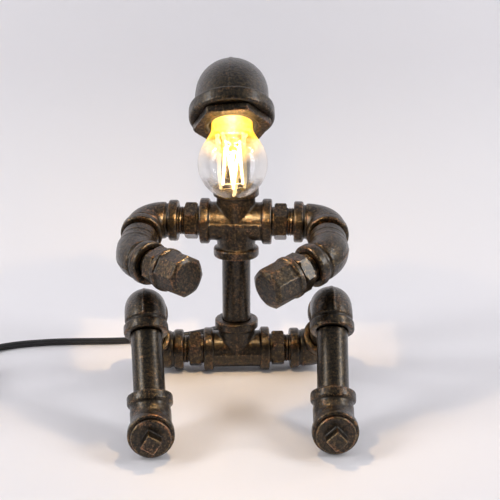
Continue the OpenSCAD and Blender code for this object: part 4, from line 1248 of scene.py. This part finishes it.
class LAMP_OT_bulb(PieceOperator, bpy.types.Operator):
    """Makes the clear globe bulb with its lit filament sticks and the light it gives"""

    bl_idname = "lamp.bulb"
    bl_label = "Bulb"

    def make(self):
        self.place = TurnedPlace("bulb_glass")
        self.axis = self.place.axis
        self.globe()
        self.filaments()
        crisp_piece("bulb_stem", 0, "stem")
        crisp_piece("bulb_cap", 0, "cap")
        crisp_piece("bulb_tip", 0.2 * MM, "tip")
        self.light()

    def globe(self):
        b = settings().bulb
        radius, span, neck = self.place.radius, self.place.span, b.neck_radius
        least = 0.01 * MM
        # The globe's arc, then an eased line up to the neck, which ends in a short lip
        leave, arc_steps, neck_steps, lip = math.radians(118), 46, 14, 3 * MM
        outer = [(radius - radius * math.cos(a), radius * math.sin(a))
                 for a in (leave * i / arc_steps for i in range(arc_steps + 1))]
        knee = outer[-1]
        for i in range(1, neck_steps + 1):
            t = i / neck_steps
            ease = t * t * (3 - 2 * t) * 0.45 + (1 - (1 - t) ** 2) * 0.55
            outer.append((knee[0] + (span - lip - knee[0]) * t,
                          knee[1] + (neck - knee[1]) * ease))
        outer.append((span, neck))
        inner = [(z + b.wall * max(0.0, 1 - z / radius), max(r - b.wall, 0.0)) for z, r in outer]
        mesh = spun([(z, max(r, least), 0) for z, r in outer + inner[::-1]], 96)
        # The painted glow of the lit neck, which stands in for the filaments' light shining in it:
        # none below this height, full above it
        painted_glow_from, painted_glow_run, painted_glow_full = 0.55, 0.24, 0.8
        glow = np.clip((points_of(mesh)[:, 2] / span - painted_glow_from) / painted_glow_run, 0, 1)
        lit = mesh.attributes.new("neck_glow", "FLOAT", "POINT")
        glow = glow * glow * (3 - 2 * glow) * painted_glow_full
        lit.data.foreach_set("value", glow.astype(np.float32))
        mesh.transform(self.place.matrix)
        finish_mesh("bulb_glass", mesh, 60, "glass")

    def filaments(self):
        b = settings().bulb
        start, axis = self.place.start, np.array(self.axis)
        # A part's outer share is its stick, and its wires end just inside the stick's tips
        stick_share, wire_ends = 0.75, (0.02, 0.98)
        meshes = []
        for co in islands(node_mesh("bulb_filaments", "measure")):
            rel = co - np.array(start)
            radial = np.linalg.norm(rel - (rel @ axis)[:, None] * axis, axis=1)
            stick = co[radial > stick_share * radial.max()]
            middle = stick.mean(0)
            way = np.linalg.svd(stick - middle)[2][0]
            reach = (stick - middle) @ way
            first, last = Vector(middle + way * reach.min()), Vector(middle + way * reach.max())
            meshes.append(tree_mesh("beads", {
                "Length": (last - first).length, "Radius": b.stick_radius,
                "Count": b.bead_count}, upright(first, last - first)))
            for end in (first.lerp(last, share) for share in wire_ends):
                foot = start + self.axis * (end - start).dot(self.axis)
                side = (end - foot).normalized()
                meshes.append(tube_between(foot + side * b.stem_radius, end, b.wire_radius))
        mesh = joined("bulb_filaments_finished", meshes)
        finish_mesh("bulb_filaments", mesh, 50, "glow")

    def light(self):
        b = settings().bulb
        globe, neck = self.place.radius, self.place.span * 0.62
        for name, kind, power, size, height in (
                ("bulb_light", "POINT", b.lamp_power, b.light_size, globe),
                ("chest_light", "SPOT", b.chest_power, b.light_size, globe),
                ("neck_light", "POINT", b.lamp_power * b.neck_share, b.neck_light_size, neck)):
            lamp = add_light(name, kind, self.place.start + self.axis * height, power)
            lamp.data.color, lamp.data.shadow_soft_size = tuple(b.light_colour), size
            lamp.visible_transmission = False
            if kind == "SPOT":
                lamp.data.spot_size, lamp.data.spot_blend = b.chest_cone, 1.0
                aim(lamp, middle_of("chest_cross"))
            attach(lamp, "head")


class LAMP_OT_holder(PieceOperator, bpy.types.Operator):
    """Makes the bulb holder with its brass sleeve and centre contact"""

    bl_idname = "lamp.holder"
    bl_label = "Bulb holder"

    def make(self):
        crisp_piece("holder_shell", 0.2 * MM, "holder")
        for node in ("holder_sleeve", "holder_contact"):
            crisp_piece(node, 0.2 * MM, "brass")


class LAMP_OT_wiring(PieceOperator, bpy.types.Operator):
    """Makes the inner leads and the ribbed strain relief"""

    bl_idname = "lamp.wiring"
    bl_label = "Wiring"

    def make(self):
        for node in ("pelvis_leads", "torso_leads", "neck_leads", "head_leads"):
            finish_piece(soft_copy(node), [node], "wire")
        low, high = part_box("strain_relief")
        x, z = (low.x + high.x) / 2, (low.z + high.z) / 2
        ribs = ribs_at((x, high.y - 1 * MM, z), (0, -1, 0), 3.5, 4.9, 16, 9, 0.55)
        moulded_piece("strain_relief", 0.3 * MM, [ribs], 2, 40)


STEPS = (
    LAMP_OT_studio, LAMP_OT_cords, LAMP_OT_switch, LAMP_OT_plug, LAMP_OT_castings, LAMP_OT_ends,
    LAMP_OT_nipples, LAMP_OT_pipes, LAMP_OT_bulb, LAMP_OT_holder, LAMP_OT_wiring,
)


class LAMP_PT_sidebar(bpy.types.Panel):
    """Settings and steps of the pipe lamp"""

    bl_label = "Pipe Lamp"
    bl_idname = "LAMP_PT_sidebar"
    bl_space_type = "VIEW_3D"
    bl_region_type = "UI"
    bl_category = "Pipe Lamp"

    def draw(self, context):
        lamp = context.scene.pipe_lamp
        for group in ("bronze", "fitting", "cord", "bulb", "studio", "camera"):
            box = self.layout.box()
            box.label(text=group.capitalize())
            values = getattr(lamp, group)
            for name in values.__annotations__:
                box.prop(values, name)
        for step in STEPS:
            self.layout.operator(step.bl_idname)


GROUPS = (BronzeSettings, FittingSettings, CordSettings, BulbSettings, StudioSettings,
          CameraSettings, LampSettings)


def register():
    for cls in GROUPS + STEPS + (LAMP_PT_sidebar,):
        bpy.utils.register_class(cls)
    bpy.types.Scene.pipe_lamp = PointerProperty(type=LampSettings)


def unregister():
    del bpy.types.Scene.pipe_lamp
    for cls in reversed(GROUPS + STEPS + (LAMP_PT_sidebar,)):
        bpy.utils.unregister_class(cls)


def main():
    register()
    bpy.context.scene.view_settings.view_transform = "Standard"
    for step in STEPS:
        group, name = step.bl_idname.split(".")
        if getattr(getattr(bpy.ops, group), name)() != {"FINISHED"}:
            raise RuntimeError(step.bl_label + " did not finish")


if __name__ == "__main__":
    main()
